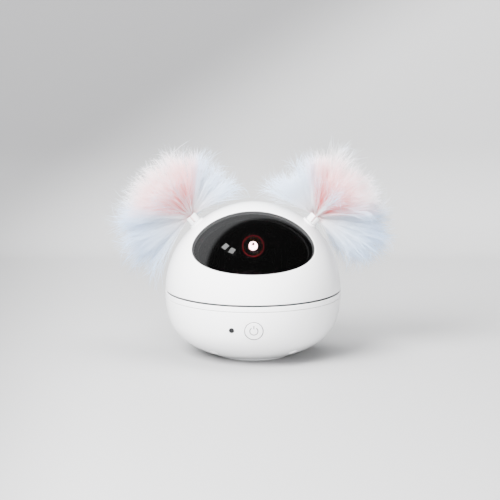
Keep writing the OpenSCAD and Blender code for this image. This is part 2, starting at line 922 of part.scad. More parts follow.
module usb_socket() {
    color(steel)
    translate([0, 0, usb_z + usb_h / 2])
        difference() {
            usb_shape(0, usb_front - usb_len, usb_front);
            difference() {
                usb_shape(-usb_skin, usb_front - usb_len + usb_back, usb_front + 1);
                translate([0, usb_front - usb_len + usb_back + usb_tongue[1] / 2, -usb_tongue[2] / 2])
                    block(usb_tongue);
            }
        }
}
usb_front = bowl_x(usb_z + usb_h / 2) - usb_inset;
usb_skin = 0.3;
usb_back = 1;
usb_tongue = [6.4, 4.8, 0.7];

module brush_block() {
    color(dark)
    translate([brush_x, 0, deck_top])
        difference() {
            block(brush_size);
            translate([0, 0, -1])
                block([brush_slot[0] - 2 * clear, brush_slot[1] - 2 * clear, brush_size[2] + 2]);
        }
}

module brush_contacts() {
    color(brass)
    for (i = [0, 1])
        let (y = i == 0 ? -brush_y : brush_y,
             tip = sqrt(track_mid[i] * track_mid[i] - y * y),
             high = head_low - slip_t - track_t - brush_gap,
             back = brush_x + leaf_back,
             front = brush_x - brush_size[0] / 2)
        {
            // leaf that lies on the block and rises towards the track
            translate([0, y + leaf_w / 2, 0])
                rotate([90, 0, 0])
                    linear_extrude(leaf_w)
                        polygon([[back, leaf_z], [front, leaf_z], [tip, high - 1.5 * leaf_t],
                                 [tip - leaf_nose, high - 2.5 * leaf_t], [tip - leaf_nose, high - 1.5 * leaf_t],
                                 [tip, high], [front, leaf_z + leaf_t], [back, leaf_z + leaf_t]]);
        }
}
leaf_z = deck_top + brush_size[2];

// Leads inside the base
lead_r = 0.6;
module base_leads() {
    color("#b3262b")
    for (i = [0 : len(base_routes) - 1])
        lead(base_routes[i], lead_r);
}
board_face = main_board_z + board_t;
lead_end_z = board_face + socket_floor + seat;
socket_top = board_face + plug_socket[2];
plug_rise = 1.5;
plug_step = 1.1;
contact_x = cell_half + contact_room - contact_t / 2;
contact_z = cell_z + contact_size[0] / 2 + lead_r + seat;
contact_y = 2;
tab_x = -drive_centre + motor_r + motor_tab[0] / 2 + lead_r + seat;
tab_z = motor_top - motor_tab_y + motor_tab[2] / 2;
charge_lead_x = charge_hole_x + 0.9;
charge_lead_y = charge_hole_y + small_head_r + lead_r + 0.6;

// Last points of a lead that goes down into a socket, one step beside the socket's middle
function plug_in(i, step) =
    let (p = socket_places[i])
    [[p[0] + step, p[1], socket_top + plug_rise], [p[0] + step, p[1], lead_end_z]];
// Lead from the charging board to the end of the cell on one side
function charge_route(side) =
    curve([[side * charge_lead_x, charge_lead_y, charge_z + board_t + seat],
           [side * charge_lead_x, charge_lead_y, charge_z + board_t + 2.4],
           [side * cell_half * 0.55, cell_y + cell_r + 3.5, cell_z + 6],
           [side * cell_half * 0.9, cell_y + cell_r, cell_z + 9.5],
           [side * contact_x, cell_y + contact_y + 1, contact_z + 2.5],
           [side * contact_x, cell_y + contact_y, contact_z]]);
base_routes = [
    // from the cell's two ends to the main board
    curve(concat([[contact_x, cell_y - contact_y, contact_z],
                  [contact_x, cell_y - contact_y - 0.6, contact_z + 2.5],
                  [21.5 * room, 16 * room, cell_z + 9]], plug_in(1, plug_step))),
    curve(concat([[-contact_x, cell_y - contact_y, contact_z],
                  [-contact_x, cell_y - contact_y - 0.4, contact_z + 2.5],
                  [-15 * room, cell_y - 4, cell_z + cell_r + 2],
                  [0, cell_y - 3.5, cell_z + cell_r + 2.2],
                  [11.5 * room, cell_y - 6, cell_z + cell_r + 0.6],
                  [14.9 * room, 11 * room, cell_z + 2]], plug_in(1, -plug_step))),
    // from the drive motor
    curve(concat([[tab_x, -motor_tab_y, tab_z], [tab_x + 3, -motor_tab_y - 1, tab_z + 0.3],
                  [4 * room, -6.6 * room, tab_z - 0.8]], plug_in(2, 0))),
    // from the button board
    curve(concat([[7 * room, board_face_y + button_board_t + lead_r + seat, button_z - 4],
                  [9 * room, board_face_y + 7, button_z - 3.4],
                  [16 * room, -20 * room, button_z - 3.4],
                  [20.6 * room, -9 * room, button_z - 5]], plug_in(0, -plug_step))),
    // from the brushes, down through the deck
    curve(concat([[brush_x, 0, deck_top + seat], [brush_x, 0, deck_z - 3.4],
                  [25.8 * room, -2.6 * room, deck_z - 10.4]], plug_in(0, plug_step))),
    charge_route(1),
    charge_route(-1)
];

module drive_shaft() {
    color("#d5d7da")
    translate([-drive_centre, 0, motor_top - shaft_sunk + fit])
        cylinder(r = shaft_r, h = gear_top + gear_play / 2 - motor_top + shaft_sunk - fit);
}

module drive_pinion() {
    color(brass)
    translate([-drive_centre, 0, gear_low])
        difference() {
            rotate(180 / pinion_teeth)
                linear_extrude(drive_gear_w)
                    gear_outline(pinion_teeth);
            translate([0, 0, -1])
                cylinder(r = shaft_r + seat, h = drive_gear_w + 2);
        }
}

// Cap with a curved face, a flange behind the wall, and a stem to the switch
module power_button() {
    color(white)
    difference() {
        union() {
            intersection() {
                on_button(-button_back_y - button_flange_t / 2)
                    cylinder(r = button_r, h = 10);
                upper_solid(-button_proud, button_z - 8, button_z + 8);
            }
            on_button(-button_back_y - button_flange_t)
                cylinder(r = button_r + button_flange, h = button_flange_t);
            on_button(-stem_y)
                cylinder(r = button_stem_r, h = stem_y - button_back_y);
        }
        // power sign, an open ring and a bar, sunk into the face
        difference() {
            on_button(button_front - 3) {
                rotate(90 + sign_open)
                    rotate_extrude(angle = 360 - 2 * sign_open)
                        translate([sign_r, 0])
                            square([sign_w, 8]);
                translate([0, sign_r, 0])
                    block([sign_w, sign_bar, 8]);
            }
            upper_solid(sign_depth - button_proud, button_z - 8, button_z + 8);
        }
    }
}

// Puts children at the button, with z pointing out of the front, at a distance from the turning axis
module on_button(reach) {
    translate([button_x, -reach, button_z])
        rotate([90, 0, 0])
            children();
}
button_proud = 0.15;
sign_r = 2.1;
sign_w = 0.4;
sign_bar = 1.9;
sign_open = 35;
sign_depth = 0.15;
stem_y = board_face_y - switch_depth - plunger_len;

module switch_plunger() {
    color("#e0a22c")
    translate([button_x, board_face_y - switch_depth + plunger_sunk, button_z])
        rotate([90, 0, 0])
            cylinder(r = plunger_r, h = plunger_len + plunger_sunk);
}
plunger_sunk = 0.6;

// ---------------------------------------------------------------- turret

module head_shell() {
    color(white)
    difference() {
        union() {
            difference() {
                translate([0, 0, head_c])
                    sphere(r = body_r);
                difference() {
                    translate([0, 0, head_c])
                        sphere(r = inner_r);
                    at_head_posts()
                        translate([0, 0, table_top])
                            cylinder(r = head_post_r, h = body_r);
                    for (side = [-1, 1])
                        on_ear(side)
                            translate([0, 0, ear_out - socket_len - sleeve_wall])
                                cylinder(r = plug_r + fit + sleeve_wall, h = socket_len);
                }
            }
            for (side = [-1, 1])
                on_ear(side)
                    translate([0, 0, body_r - 1])
                        cylinder(r = ear_boss_r, h = ear_boss_h + 1);
        }
        // open underneath
        translate([0, 0, head_low - body_r * 2])
            block([body_r * 3, body_r * 3, body_r * 2]);
        // opening for the window, with a stepped lip
        window_cutter(0);
        difference() {
            window_cutter(lip_w);
            translate([0, 0, head_c])
                sphere(r = body_r - lip_d);
        }
        for (side = [-1, 1])
            on_ear(side)
                translate([0, 0, ear_out - socket_len])
                    cylinder(r = plug_r + fit, h = socket_len + 5);
        at_head_posts()
            translate([0, 0, table_top - 1])
                cylinder(r = screw_r, h = head_screw_len + 1);
    }
}

module window() {
    color("#15151a")
    difference() {
        union() {
            intersection() {
                translate([0, 0, head_c])
                    sphere(r = body_r - window_sunk);
                window_cutter(-glue_gap);
            }
            intersection() {
                translate([0, 0, head_c])
                    sphere(r = inner_r - glue_gap);
                window_cutter(rim_w);
            }
        }
        translate([0, 0, head_c])
            sphere(r = window_in);
    }
}

window_sunk = 0.05;

module turntable() {
    color(dark)
    difference() {
        union() {
            translate([0, 0, head_low])
                cylinder(r = table_r, h = deck_t);
            // skirt that closes the running gap
            translate([0, 0, head_low - skirt_drop])
                ring(skirt_r, skirt_r - skirt_t, skirt_drop + eps);
            // hub, its shoulder on the bush, and its square drive end
            translate([0, 0, bush_top + thrust_gap])
                cylinder(r = bush_flange_r, h = head_low - bush_top - thrust_gap + eps);
            translate([0, 0, gear_top])
                cylinder(r = hub_r, h = head_low - gear_top + eps);
            translate([0, 0, gear_low])
                block([square_side, square_side, drive_gear_w + eps]);
            // saddle of the tilt motor, and standoffs of the board
            translate([motor_front_x - tilt_len / 2, -pivot_y, table_top - eps])
                block([saddle_len, tilt_motor_w, saddle_h + eps]);
            for (p = head_board_holes)
                translate([p[0], p[1], table_top - eps])
                    cylinder(r = standoff_r, h = head_board_z - table_top + eps);
        }
        // screw holes up into the dome's posts
        at_head_posts() {
            translate([0, 0, head_low - 1])
                cylinder(r = screw_head_r + hole_play, h = 1 + screw_head_h);
            translate([0, 0, head_low - 1])
                cylinder(r = screw_r + pilot_play, h = deck_t + 3);
        }
        for (p = head_board_holes)
            translate([p[0], p[1], head_board_z + board_t - head_board_screw_len - pilot_extra])
                cylinder(r = small_screw_r, h = head_board_screw_len);
        for (side = [-1, 1], y = [-bracket_hole_y, bracket_hole_y])
            translate([side * (bracket_x + bracket_foot / 2), y - pivot_y, head_low - 1])
                cylinder(r = small_screw_r, h = deck_t + 2);
        for (y = [-1, 1])
            translate([clip_x, clip_hole_y(y), head_low - 1])
                cylinder(r = small_screw_r, h = deck_t + 2);
        translate([0, 0, gear_low - 1])
            cylinder(r = screw_r, h = hub_screw_len + 2);
        // hole that the slip disc's leads pass through
        translate([0, lead_hole_y, head_low - 1])
            cylinder(r = lead_r + 1, h = deck_t + 2);
    }
}
saddle_len = 14;
table_r = sqrt(inner_r * inner_r - pow(head_c - head_low, 2)) - clear;
saddle_h = tilt_motor_z - tilt_motor_h / 2 - table_top;
hub_screw_len = 8;
function clip_hole_y(side) = -pivot_y + side * (tilt_motor_w / 2 + clip_t + clip_foot / 2);

module drive_gear() {
    color("#e9e6da")
    translate([0, 0, gear_low])
        difference() {
            linear_extrude(drive_gear_w)
                gear_outline(drive_teeth);
            translate([0, 0, -1])
                block([square_side + 2 * seat, square_side + 2 * seat, drive_gear_w + 2]);
            // thinner web
            for (z = [-web_cut, drive_gear_w - web_cut])
                translate([0, 0, z])
                    ring(root_radius(drive_teeth) - rim_w / 2, square_side / 2 + boss_w, 2 * web_cut);
        }
}

web_cut = 1;
boss_w = 4;

module hub_washer() {
    color(steel)
    translate([0, 0, gear_low - washer_t])
        ring(washer_r, screw_r + pilot_play, washer_t);
}

module hub_screw() {
    color(steel)
    translate([0, 0, gear_low - washer_t])
        screw(screw_r - seat, hub_screw_len + washer_t, screw_head_r, screw_head_h);
}

module slip_disc() {
    color(board_green)
    translate([0, 0, head_low - slip_t])
        ring(slip_out, slip_in, slip_t);
}

module slip_tracks() {
    color(brass)
    translate([0, 0, head_low - slip_t - track_t])
        for (r = track_mid)
            ring(r + track_w / 2, r - track_w / 2, track_t);
}

module head_screws() {
    color(steel)
    at_head_posts()
        translate([0, 0, head_low + screw_head_h])
            screw(screw_r - seat, head_screw_len - 1, screw_head_r, screw_head_h);
}

// One side of the tilt bracket, for the right of the turret
module bracket_side() {
    translate([0, -pivot_y, 0])
    difference() {
        union() {
            translate([bracket_x - bracket_t, 0, table_top])
                rotate([90, 0, 90])
                    linear_extrude(bracket_t)
                        polygon([[-bracket_w / 2, 0], [bracket_w / 2, 0],
                                 [bracket_top_r, laser_z - table_top],
                                 [-bracket_top_r, laser_z - table_top]]);
            translate([bracket_x - bracket_t, 0, laser_z])
                rotate([0, 90, 0])
                    cylinder(r = bracket_top_r, h = bracket_t);
            translate([bracket_x - bracket_t, -bracket_w / 2, table_top])
                cube([bracket_t + bracket_foot, bracket_w, bracket_foot_t]);
        }
        translate([0, 0, laser_z])
            rotate([0, 90, 0])
                cylinder(r = tilt_pin_r + fit, h = body_r);
        for (y = [-bracket_hole_y, bracket_hole_y])
            translate([bracket_x + bracket_foot / 2, y, table_top - 1])
                cylinder(r = small_screw_r + hole_play, h = bracket_foot_t + 2);
    }
}

module bracket_left() {
    color(dark)
    mirror([1, 0, 0])
        bracket_side();
}

module bracket_right() {
    color(dark)
    bracket_side();
}

module bracket_screws() {
    color(steel)
    for (side = [-1, 1], y = [-bracket_hole_y, bracket_hole_y])
        translate([side * (bracket_x + bracket_foot / 2), y - pivot_y, table_top + bracket_foot_t])
            mirror([0, 0, 1])
                screw(small_screw_r - thread_play, bracket_foot_t + deck_t - clear, small_head_r - clear,
                      small_head_h);
}

// Small geared motor: gearbox at the shaft end, can with flats behind it
gearbox_len = 9;
tilt_shaft_sunk = 4;
module tilt_motor() {
    color(steel)
    translate([motor_front_x, -pivot_y, tilt_motor_z])
        difference() {
            union() {
                translate([-gearbox_len, -tilt_motor_w / 2, -tilt_motor_h / 2])
                    cube([gearbox_len, tilt_motor_w, tilt_motor_h]);
                intersection() {
                    translate([-tilt_len, 0, 0])
                        rotate([0, 90, 0])
                            cylinder(r = tilt_motor_w / 2, h = tilt_len - gearbox_len + eps);
                    translate([-tilt_len, -tilt_motor_w / 2, -tilt_motor_h / 2])
                        cube([tilt_len, tilt_motor_w, tilt_motor_h]);
                }
            }
            translate([-tilt_shaft_sunk - fit, 0, 0])
                rotate([0, 90, 0])
                    cylinder(r = shaft_r + fit, h = body_r);
        }
}

module motor_clip() {
    color(steel)
    difference() {
        motor_clip_strap();
        for (side = [-1, 1])
            translate([clip_x, clip_hole_y(side), table_top - 1])
                cylinder(r = small_screw_r + hole_play, h = clip_t + 2);
    }
}

module motor_clip_strap() {
    translate([clip_x - clip_w / 2, -pivot_y, 0])
        rotate([90, 0, 90])
            linear_extrude(clip_w)
                difference() {
                    union() {
                        translate([-tilt_motor_w / 2 - clip_t - seat, table_top])
                            square([tilt_motor_w + 2 * clip_t + 2 * seat,
                                    saddle_h + tilt_motor_h + seat + clip_t]);
                        translate([-tilt_motor_w / 2 - clip_t - clip_foot, table_top])
                            square([tilt_motor_w + 2 * clip_t + 2 * clip_foot, clip_t]);
                    }
                    translate([-tilt_motor_w / 2 - seat, table_top - 1])
                        square([tilt_motor_w + 2 * seat, saddle_h + tilt_motor_h + seat + 1]);
                }
}

module clip_screws() {
    color(steel)
    for (side = [-1, 1])
        translate([clip_x, clip_hole_y(side), table_top + clip_t])
            mirror([0, 0, 1])
                screw(small_screw_r - thread_play, clip_t + deck_t - clear, small_head_r, small_head_h);
}

module head_board() {
    color(board_green)
    difference() {
        translate([-head_board_half, head_board_y[0], head_board_z])
            cube([2 * head_board_half, head_board_y[1] - head_board_y[0], board_t]);
        for (p = head_board_holes)
            translate([p[0], p[1], head_board_z - 1])
                cylinder(r = small_screw_r + hole_play, h = board_t + 2);
    }
}

module head_board_parts() {
    color(dark)
    translate([0, 0, head_board_z + board_t]) {
        translate(head_chip_place)
            block(head_chip_size);
        translate(head_can_place)
            cylinder(r = head_can_r, h = head_can_h);
        for (x = [-head_socket_x, head_socket_x])
            translate([x, head_socket_y, 0])
                block(plug_socket);
    }
}
head_chip_place = [0, 22, 0] * room;
head_chip_size = [6, 5, 1.2];
head_can_place = [-9, 21, 0] * room;
head_can_r = 2;
head_can_h = 5;
head_socket_x = 6 * room;
head_socket_y = 13 * room;

module head_board_screws() {
    color(steel)
    for (p = head_board_holes)
        translate([p[0], p[1], head_board_z + board_t])
            mirror([0, 0, 1])
                screw(small_screw_r - thread_play, head_board_screw_len, small_head_r, small_head_h);
}

module head_leads() {
    color("#3a3a3f")
    for (i = [0 : len(head_routes) - 1])
        lead(head_routes[i], lead_r);
}
lead_hole_y = slip_out + 2;
motor_back_x = motor_front_x - tilt_len;
socket_mid_z = head_board_z + board_t + plug_socket[2] / 2;
head_routes = [
    // from the slip disc to the back edge of the board
    curve([[0, lead_hole_y, head_low + seat],
           [0, lead_hole_y, table_top + 0.6],
           [0.8, head_board_y[1] - 4, table_top + 1.6],
           [2, head_board_y[1] + lead_r + 0.6, table_top + 2.4],
           [2, head_board_y[1] + lead_r + seat, head_board_z + 0.8]]),
    // from the tilt motor to a socket on the board
    curve([[motor_back_x - seat, -pivot_y, tilt_motor_z + 2],
           [motor_back_x - 1.4, -pivot_y, tilt_motor_z + 2],
           [motor_back_x - 2.4, -pivot_y + 3, tilt_motor_z + 3],
           [motor_back_x - 0.6, -pivot_y + 8, tilt_motor_z + 4.6],
           [-head_socket_x - 1.5, 1.5 * room, socket_mid_z + 3],
           [-head_socket_x, head_socket_y - plug_socket[1] / 2 - 2.6, socket_mid_z],
           [-head_socket_x, head_socket_y - plug_socket[1] / 2 - seat, socket_mid_z]])
];

// ---------------------------------------------------------------- laser carriage

// Turns the tilt axis onto z, with the laser looking along -y of the turret
module on_tilt_axis(x) {
    translate([x, -pivot_y, laser_z])
        rotate([90, 0, 90])
            children();
}

module laser_cradle() {
    color(dark)
    difference() {
        union() {
            translate([0, -pivot_y + cradle_back, laser_z])
                rotate([90, 0, 0])
                    cylinder(r = cradle_out, h = cradle_len);
            // pivot pins with shoulders
            on_tilt_axis(-bracket_x)
                cylinder(r = tilt_pin_r, h = 2 * bracket_x);
            on_tilt_axis(-bracket_x + bracket_t + clear)
                cylinder(r = shoulder_r, h = 2 * (bracket_x - bracket_t - clear));
            // toothed sector that hangs below the right pin
            on_tilt_axis(sector_x)
                linear_extrude(sector_w)
                    intersection() {
                        gear_outline(sector_teeth);
                        polygon([[0, sector_top],
                                 [sector_reach * -sin(sector_half), -sector_reach * cos(sector_half)],
                                 [0, -sector_reach * 1.6],
                                 [sector_reach * sin(sector_half), -sector_reach * cos(sector_half)]]);
                    }
        }
        // bore of the laser barrel
        translate([0, -pivot_y + cradle_back + 1, laser_z])
            rotate([90, 0, 0])
                cylinder(r = barrel_out + seat, h = cradle_len + 2);
    }
}
cradle_len = barrel_reach - cradle_lip - pivot_y + cradle_back;
sector_half = 42;
sector_reach = 22;
sector_top = 4.5;

module laser_barrel() {
    color(brass)
    translate([0, 0, laser_z])
        rotate([90, 0, 0])
            difference() {
                translate([0, 0, barrel_reach - barrel_len])
                    cylinder(r = barrel_out, h = barrel_len);
                translate([0, 0, barrel_reach - lens_seat])
                    cylinder(r = lens_r + seat, h = 2 * lens_seat);
            }
}

module laser_lens() {
    color("#ff8a9a")
    translate([0, -barrel_reach + lens_seat, laser_z])
        rotate([90, 0, 0]) {
            cylinder(r = lens_r, h = lens_t);
            translate([0, 0, lens_t])
                cylinder(r1 = lens_r, r2 = lens_r - 2 * lens_bulge, h = lens_bulge);
        }
}
lens_seat = 1.5;
lens_t = 1.3;
lens_bulge = 0.4;

module laser_ring() {
    color("#d3122a")
    translate([0, -barrel_reach, laser_z])
        rotate([90, 0, 0])
            ring(ring_out, ring_out - ring_stroke, ring_t);
}

module tilt_shaft() {
    color("#d5d7da")
    translate([motor_front_x - tilt_shaft_sunk, -pivot_y, tilt_motor_z])
        rotate([0, 90, 0])
            cylinder(r = shaft_r, h = tilt_shaft_sunk + motor_gap + sector_w + sector_gap / 2);
}

module tilt_pinion() {
    color(brass)
    translate([sector_x, -pivot_y, tilt_motor_z])
        rotate([90, 0, 90])
            difference() {
                rotate(90 + 180 / tilt_teeth)
                    linear_extrude(sector_w)
                        gear_outline(tilt_teeth);
                translate([0, 0, -1])
                    cylinder(r = shaft_r + seat, h = sector_w + 2);
            }
}

// ---------------------------------------------------------------- feathers

// Split ferrule: a plug for the socket and a collar that grips the quills
module ferrule(side) {
    on_ear(side)
        difference() {
            union() {
                translate([0, 0, ear_out])
                    cylinder(r = ferrule_r, h = ferrule_len);
                translate([0, 0, ear_out - plug_len])
                    cylinder(r = plug_r, h = plug_len + eps);
            }
            translate([0, 0, ear_out + ferrule_len - quill_sunk])
                cylinder(r = quill_r + seat, h = quill_sunk + 1);
            translate([-slit_w / 2, -ferrule_r - 1, ear_out + slit_low])
                cube([slit_w, ferrule_r, ferrule_len]);
        }
}

// Flat feather vane that leaves the root ball, turned away from the ear's axis
function vane_edge(length, width, side) =
    [for (i = [0 : vane_steps])
        let (t = side > 0 ? i / vane_steps : 1 - i / vane_steps)
        [side * (vane_quill + (width / 2 - vane_quill) * sin(180 * pow(t, 1.5))),
         vane_start + (length - vane_start) * t]];
module vane(length, width, away, round) {
    rotate([0, 0, round])
        rotate([0, away, 0])
            rotate([90, 0, 90])
                linear_extrude(vane_t, center = true)
                    polygon(concat(vane_edge(length, width, 1), vane_edge(length, width, -1)));
}

// Ring of vanes round the ear's axis
module vane_ring(count, length, width, away) {
    for (i = [0 : count - 1])
        vane(length, width, away, (i + 0.5) * 360 / count);
}

// One bundle of feathers: quills bound in a plug, short vanes in the middle and long ones outside
module plume(side) {
    on_ear(side) {
        translate([0, 0, root_z - quill_sunk + eps])
            cylinder(r = quill_r, h = quill_sunk + root_ball);
        translate([0, 0, root_z + root_ball + 0.1]) {
            sphere(r = root_ball);
            vane_ring(4, plume_len, plume_w, 20);
            vane_ring(6, tuft_len, tuft_w, 38);
            vane_ring(9, plume_len, plume_w, 54);
            vane_ring(11, plume_len, plume_w, 88);
        }
    }
}
root_z = ear_out + ferrule_len;
root_ball = 3;
vane_steps = 6;
vane_start = 2.2;
vane_quill = 0.45;
plume_w = 10.6;
tuft_w = 8;

module left_ferrule() { color(white) ferrule(-1); }
module right_ferrule() { color(white) ferrule(1); }
module left_plume() { color("#f3c9cd") plume(-1); }
module right_plume() { color("#f3c9cd") plume(1); }

base_bowl();
base_deck();
foot_ring();
base_screws();
hub_bush();
drive_motor();
battery_cell();
battery_holder();
battery_contacts();
main_board();
board_chips();
board_sockets();
board_screws();
button_board();
button_board_screws();
tact_switch();
indicator_lens();
indicator_led();
charge_board();
charge_board_screws();
usb_socket();
brush_block();
brush_contacts();
base_leads();
drive_shaft();
drive_pinion();
power_button();
switch_plunger();
head_shell();
window();
turntable();
drive_gear();
hub_washer();
hub_screw();
slip_disc();
slip_tracks();
head_screws();
bracket_left();
bracket_right();
bracket_screws();
tilt_motor();
motor_clip();
clip_screws();
head_board();
head_board_parts();
head_board_screws();
head_leads();
laser_cradle();
laser_barrel();
laser_lens();
laser_ring();
tilt_shaft();
tilt_pinion();
left_ferrule();
left_plume();
right_ferrule();
right_plume();
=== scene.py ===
import bpy
import numpy as np
from math import acos, asin, cos, degrees, pi, radians, sin, sqrt
from mathutils import Matrix, Vector


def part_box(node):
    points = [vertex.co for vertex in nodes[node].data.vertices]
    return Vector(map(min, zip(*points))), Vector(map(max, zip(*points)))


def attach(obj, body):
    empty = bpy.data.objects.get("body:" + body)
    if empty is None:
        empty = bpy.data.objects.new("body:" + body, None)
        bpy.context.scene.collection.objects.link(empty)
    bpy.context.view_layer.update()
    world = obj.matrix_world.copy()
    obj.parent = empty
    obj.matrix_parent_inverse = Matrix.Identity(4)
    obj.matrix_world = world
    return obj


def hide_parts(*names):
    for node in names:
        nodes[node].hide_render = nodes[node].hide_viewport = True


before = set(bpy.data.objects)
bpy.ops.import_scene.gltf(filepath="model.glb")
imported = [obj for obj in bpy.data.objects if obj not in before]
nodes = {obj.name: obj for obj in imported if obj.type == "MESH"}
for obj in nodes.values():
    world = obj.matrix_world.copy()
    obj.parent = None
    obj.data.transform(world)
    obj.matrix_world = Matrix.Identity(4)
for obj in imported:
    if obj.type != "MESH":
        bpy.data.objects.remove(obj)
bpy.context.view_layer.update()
mm = 0.001


def boxMm(node):
    low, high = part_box(node)
    return low / mm, high / mm


def middleMm(node):
    low, high = boxMm(node)
    return (low + high) / 2


# The photo was taken from a little above the toy with a long lens
photoView = {
    "elevation": 11.3,
    "distance": 4000.0,
    "aim": (-1.8, 0.0, 60.0),
    "pixelsPerMm": 1.754,
    "pixelsWide": 500,
    "sensor": 36.0,
}


def placeCamera(view):
    data = bpy.data.cameras.new("photoCamera")
    data.sensor_width = view["sensor"]
    data.lens = view["pixelsPerMm"] * view["distance"] / view["pixelsWide"] * view["sensor"]
    data.clip_start = 0.01
    camera = bpy.data.objects.new("photoCamera", data)
    up = radians(view["elevation"])
    back = Vector((0, -cos(up), sin(up)))
    camera.location = (Vector(view["aim"]) + back * view["distance"]) * mm
    camera.rotation_euler = back.to_track_quat("Z", "Y").to_euler()
    bpy.context.scene.collection.objects.link(camera)
    bpy.context.scene.camera = camera


placeCamera(photoView)
print("camera set")

# Sizes of the body, read from the frame where it has them
domeLow, domeHigh = boxMm("head_shell")
deckHigh = boxMm("base_deck")[1]
body = {
    "radius": domeHigh.x,
    "domeCentre": domeHigh.z - domeHigh.x,
    "domeLow": domeLow.z,
    "wall": 2.2,
    "seam": (domeLow.z + deckHigh.z) / 2,
    "deckLow": deckHigh.z - 3.1,
    "deckTop": boxMm("hub_bush")[1].z - 1.2,
    "bowlLow": boxMm("base_bowl")[0].z,
}

# Mesh helpers: all points are given in millimetres


def addMesh(name, points, faces, smoothAngle=35):
    mesh = bpy.data.meshes.new(name)
    mesh.from_pydata([tuple(c * mm for c in p) for p in points], [], faces)
    mesh.validate()
    obj = bpy.data.objects.new(name, mesh)
    bpy.context.scene.collection.objects.link(obj)
    smoothen(obj, smoothAngle)
    return obj


# Gives a piece these materials and no others
def wear(obj, *materials):
    obj.data.materials.clear()
    for material in materials:
        obj.data.materials.append(material)


def smoothen(obj, angle):
    mesh = obj.data
    mesh.shade_smooth()
    if angle < 180:
        mesh.set_sharp_from_angle(angle=radians(angle))


# Closed grid: rings is a list of equally long closed loops, and the last ring joins the first
def ringGrid(name, rings, smoothAngle=35):
    count, size = len(rings), len(rings[0])
    points = [p for ring in rings for p in ring]
    faces = []
    for i in range(count):
        n = (i + 1) % count
        for j in range(size):
            k = (j + 1) % size
            faces.append((i * size + j, n * size + j, n * size + k, i * size + k))
    return addMesh(name, points, faces, smoothAngle)


# Solid turned from a profile of (radius, height) points: a closed loop, or open from axis to axis.
# A height may be a function of x and y, so that a face can follow a curved surface
def lathe(name, profile, place=None, steps=192, closed=False, smoothAngle=35):
    place = place or Matrix.Identity(4)
    points, rows, faces = [], [], []
    for r, z in profile:
        rise = z if callable(z) else lambda x, y, z=z: z
        if r < 1e-6:
            rows.append([len(points)] * steps)
            points.append(place @ Vector((0, 0, rise(0, 0))))
        else:
            rows.append([len(points) + s for s in range(steps)])
            for s in range(steps):
                x, y = r * cos(2 * pi * s / steps), r * sin(2 * pi * s / steps)
                points.append(place @ Vector((x, y, rise(x, y))))
    pairs = list(zip(rows, rows[1:]))
    if closed:
        pairs.append((rows[-1], rows[0]))
    for low, high in pairs:
        for s in range(steps):
            t = (s + 1) % steps
            face = [low[s], low[t], high[t], high[s]]
            face = [v for i, v in enumerate(face) if v not in face[:i]]
            if len(face) > 2:
                faces.append(face)
    return addMesh(name, points, faces, smoothAngle)


def onRing(r, angle):
    return r * cos(radians(angle)), r * sin(radians(angle))


def arc(centre, r, start, end, steps):
    turned = [onRing(r, start + (end - start) * i / steps) for i in range(steps + 1)]
    return [(centre[0] + x, centre[1] + y) for x, y in turned]


def upright(x, y):
    return Matrix.Translation((x, y, 0))


def alongFront(x, z):
    return Matrix.Translation((x, 0, z)) @ Matrix.Rotation(radians(90), 4, "X")


def rod(r, low, high, place, steps=64):
    return lathe("rod", [(0, low), (r, low), (r, high), (0, high)], place, steps)


def rods(places, r, low, high, steps=64):
    return [rod(r, low, high, upright(*p), steps) for p in places]


# Cuts each tool out of the piece, or joins it on, and takes the tool away
def carve(piece, tools, operation="DIFFERENCE", smoothAngle=35):
    for tool in tools:
        step = piece.modifiers.new("carve", "BOOLEAN")
        step.operation = operation
        step.solver = "EXACT"
        step.material_mode = "TRANSFER"
        step.object = tool
    depsgraph = bpy.context.evaluated_depsgraph_get()
    made = bpy.data.meshes.new_from_object(piece.evaluated_get(depsgraph))
    piece.modifiers.clear()
    old = piece.data
    piece.data = made
    made.name = piece.name
    bpy.data.meshes.remove(old)
    for tool in tools:
        bpy.data.objects.remove(tool)
    smoothen(piece, smoothAngle)
    return piece


# Shader helpers


def newMaterial(name):
    material = bpy.data.materials.new(name)
    material.use_nodes = True
    return material, material.node_tree, material.node_tree.nodes["Principled BSDF"]


def addNode(tree, kind, values=None, **settings):
    made = tree.nodes.new(kind)
    for key, value in settings.items():
        setattr(made, key, value)
    setInputs(made, values or {})
    return made


def setInputs(node, values):
    for name, value in values.items():
        node.inputs[name].default_value = value


# Each row of links is a node, its output, the node that it leads to, and the input there
def wire(tree, *rows):
    for source, output, target, into in rows:
        tree.links.new(source.outputs[output], target.inputs[into])


# Mix of two colours, the second one reached at a factor of 1; a colour that is left out comes by a link
def addMix(tree, first=None, second=None, **settings):
    values = {key: (*colour, 1) for key, colour in (("A", first), ("B", second)) if colour}
    return addNode(tree, "ShaderNodeMix", values, data_type="RGBA", **settings)


# Rise from 0 to a top value while the input goes from low to high
def addRise(tree, low, high, top=1.0, kind="LINEAR"):
    values = {"From Min": low, "From Max": high, "To Max": top}
    return addNode(tree, "ShaderNodeMapRange", values, interpolation_type=kind)


# Colour that goes from one to another between two distances along a direction
def addShade(tree, coordinate, direction, span, first, second):
    where = addNode(tree, "ShaderNodeTexCoord")
    along = addNode(tree, "ShaderNodeVectorMath", {1: direction}, operation="DOT_PRODUCT")
    rise = addRise(tree, *span, kind="SMOOTHSTEP")
    blend = addMix(tree, first, second)
    wire(tree, (where, coordinate, along, 0), (along, "Value", rise, "Value"),
         (rise, "Result", blend, "Factor"))
    return blend


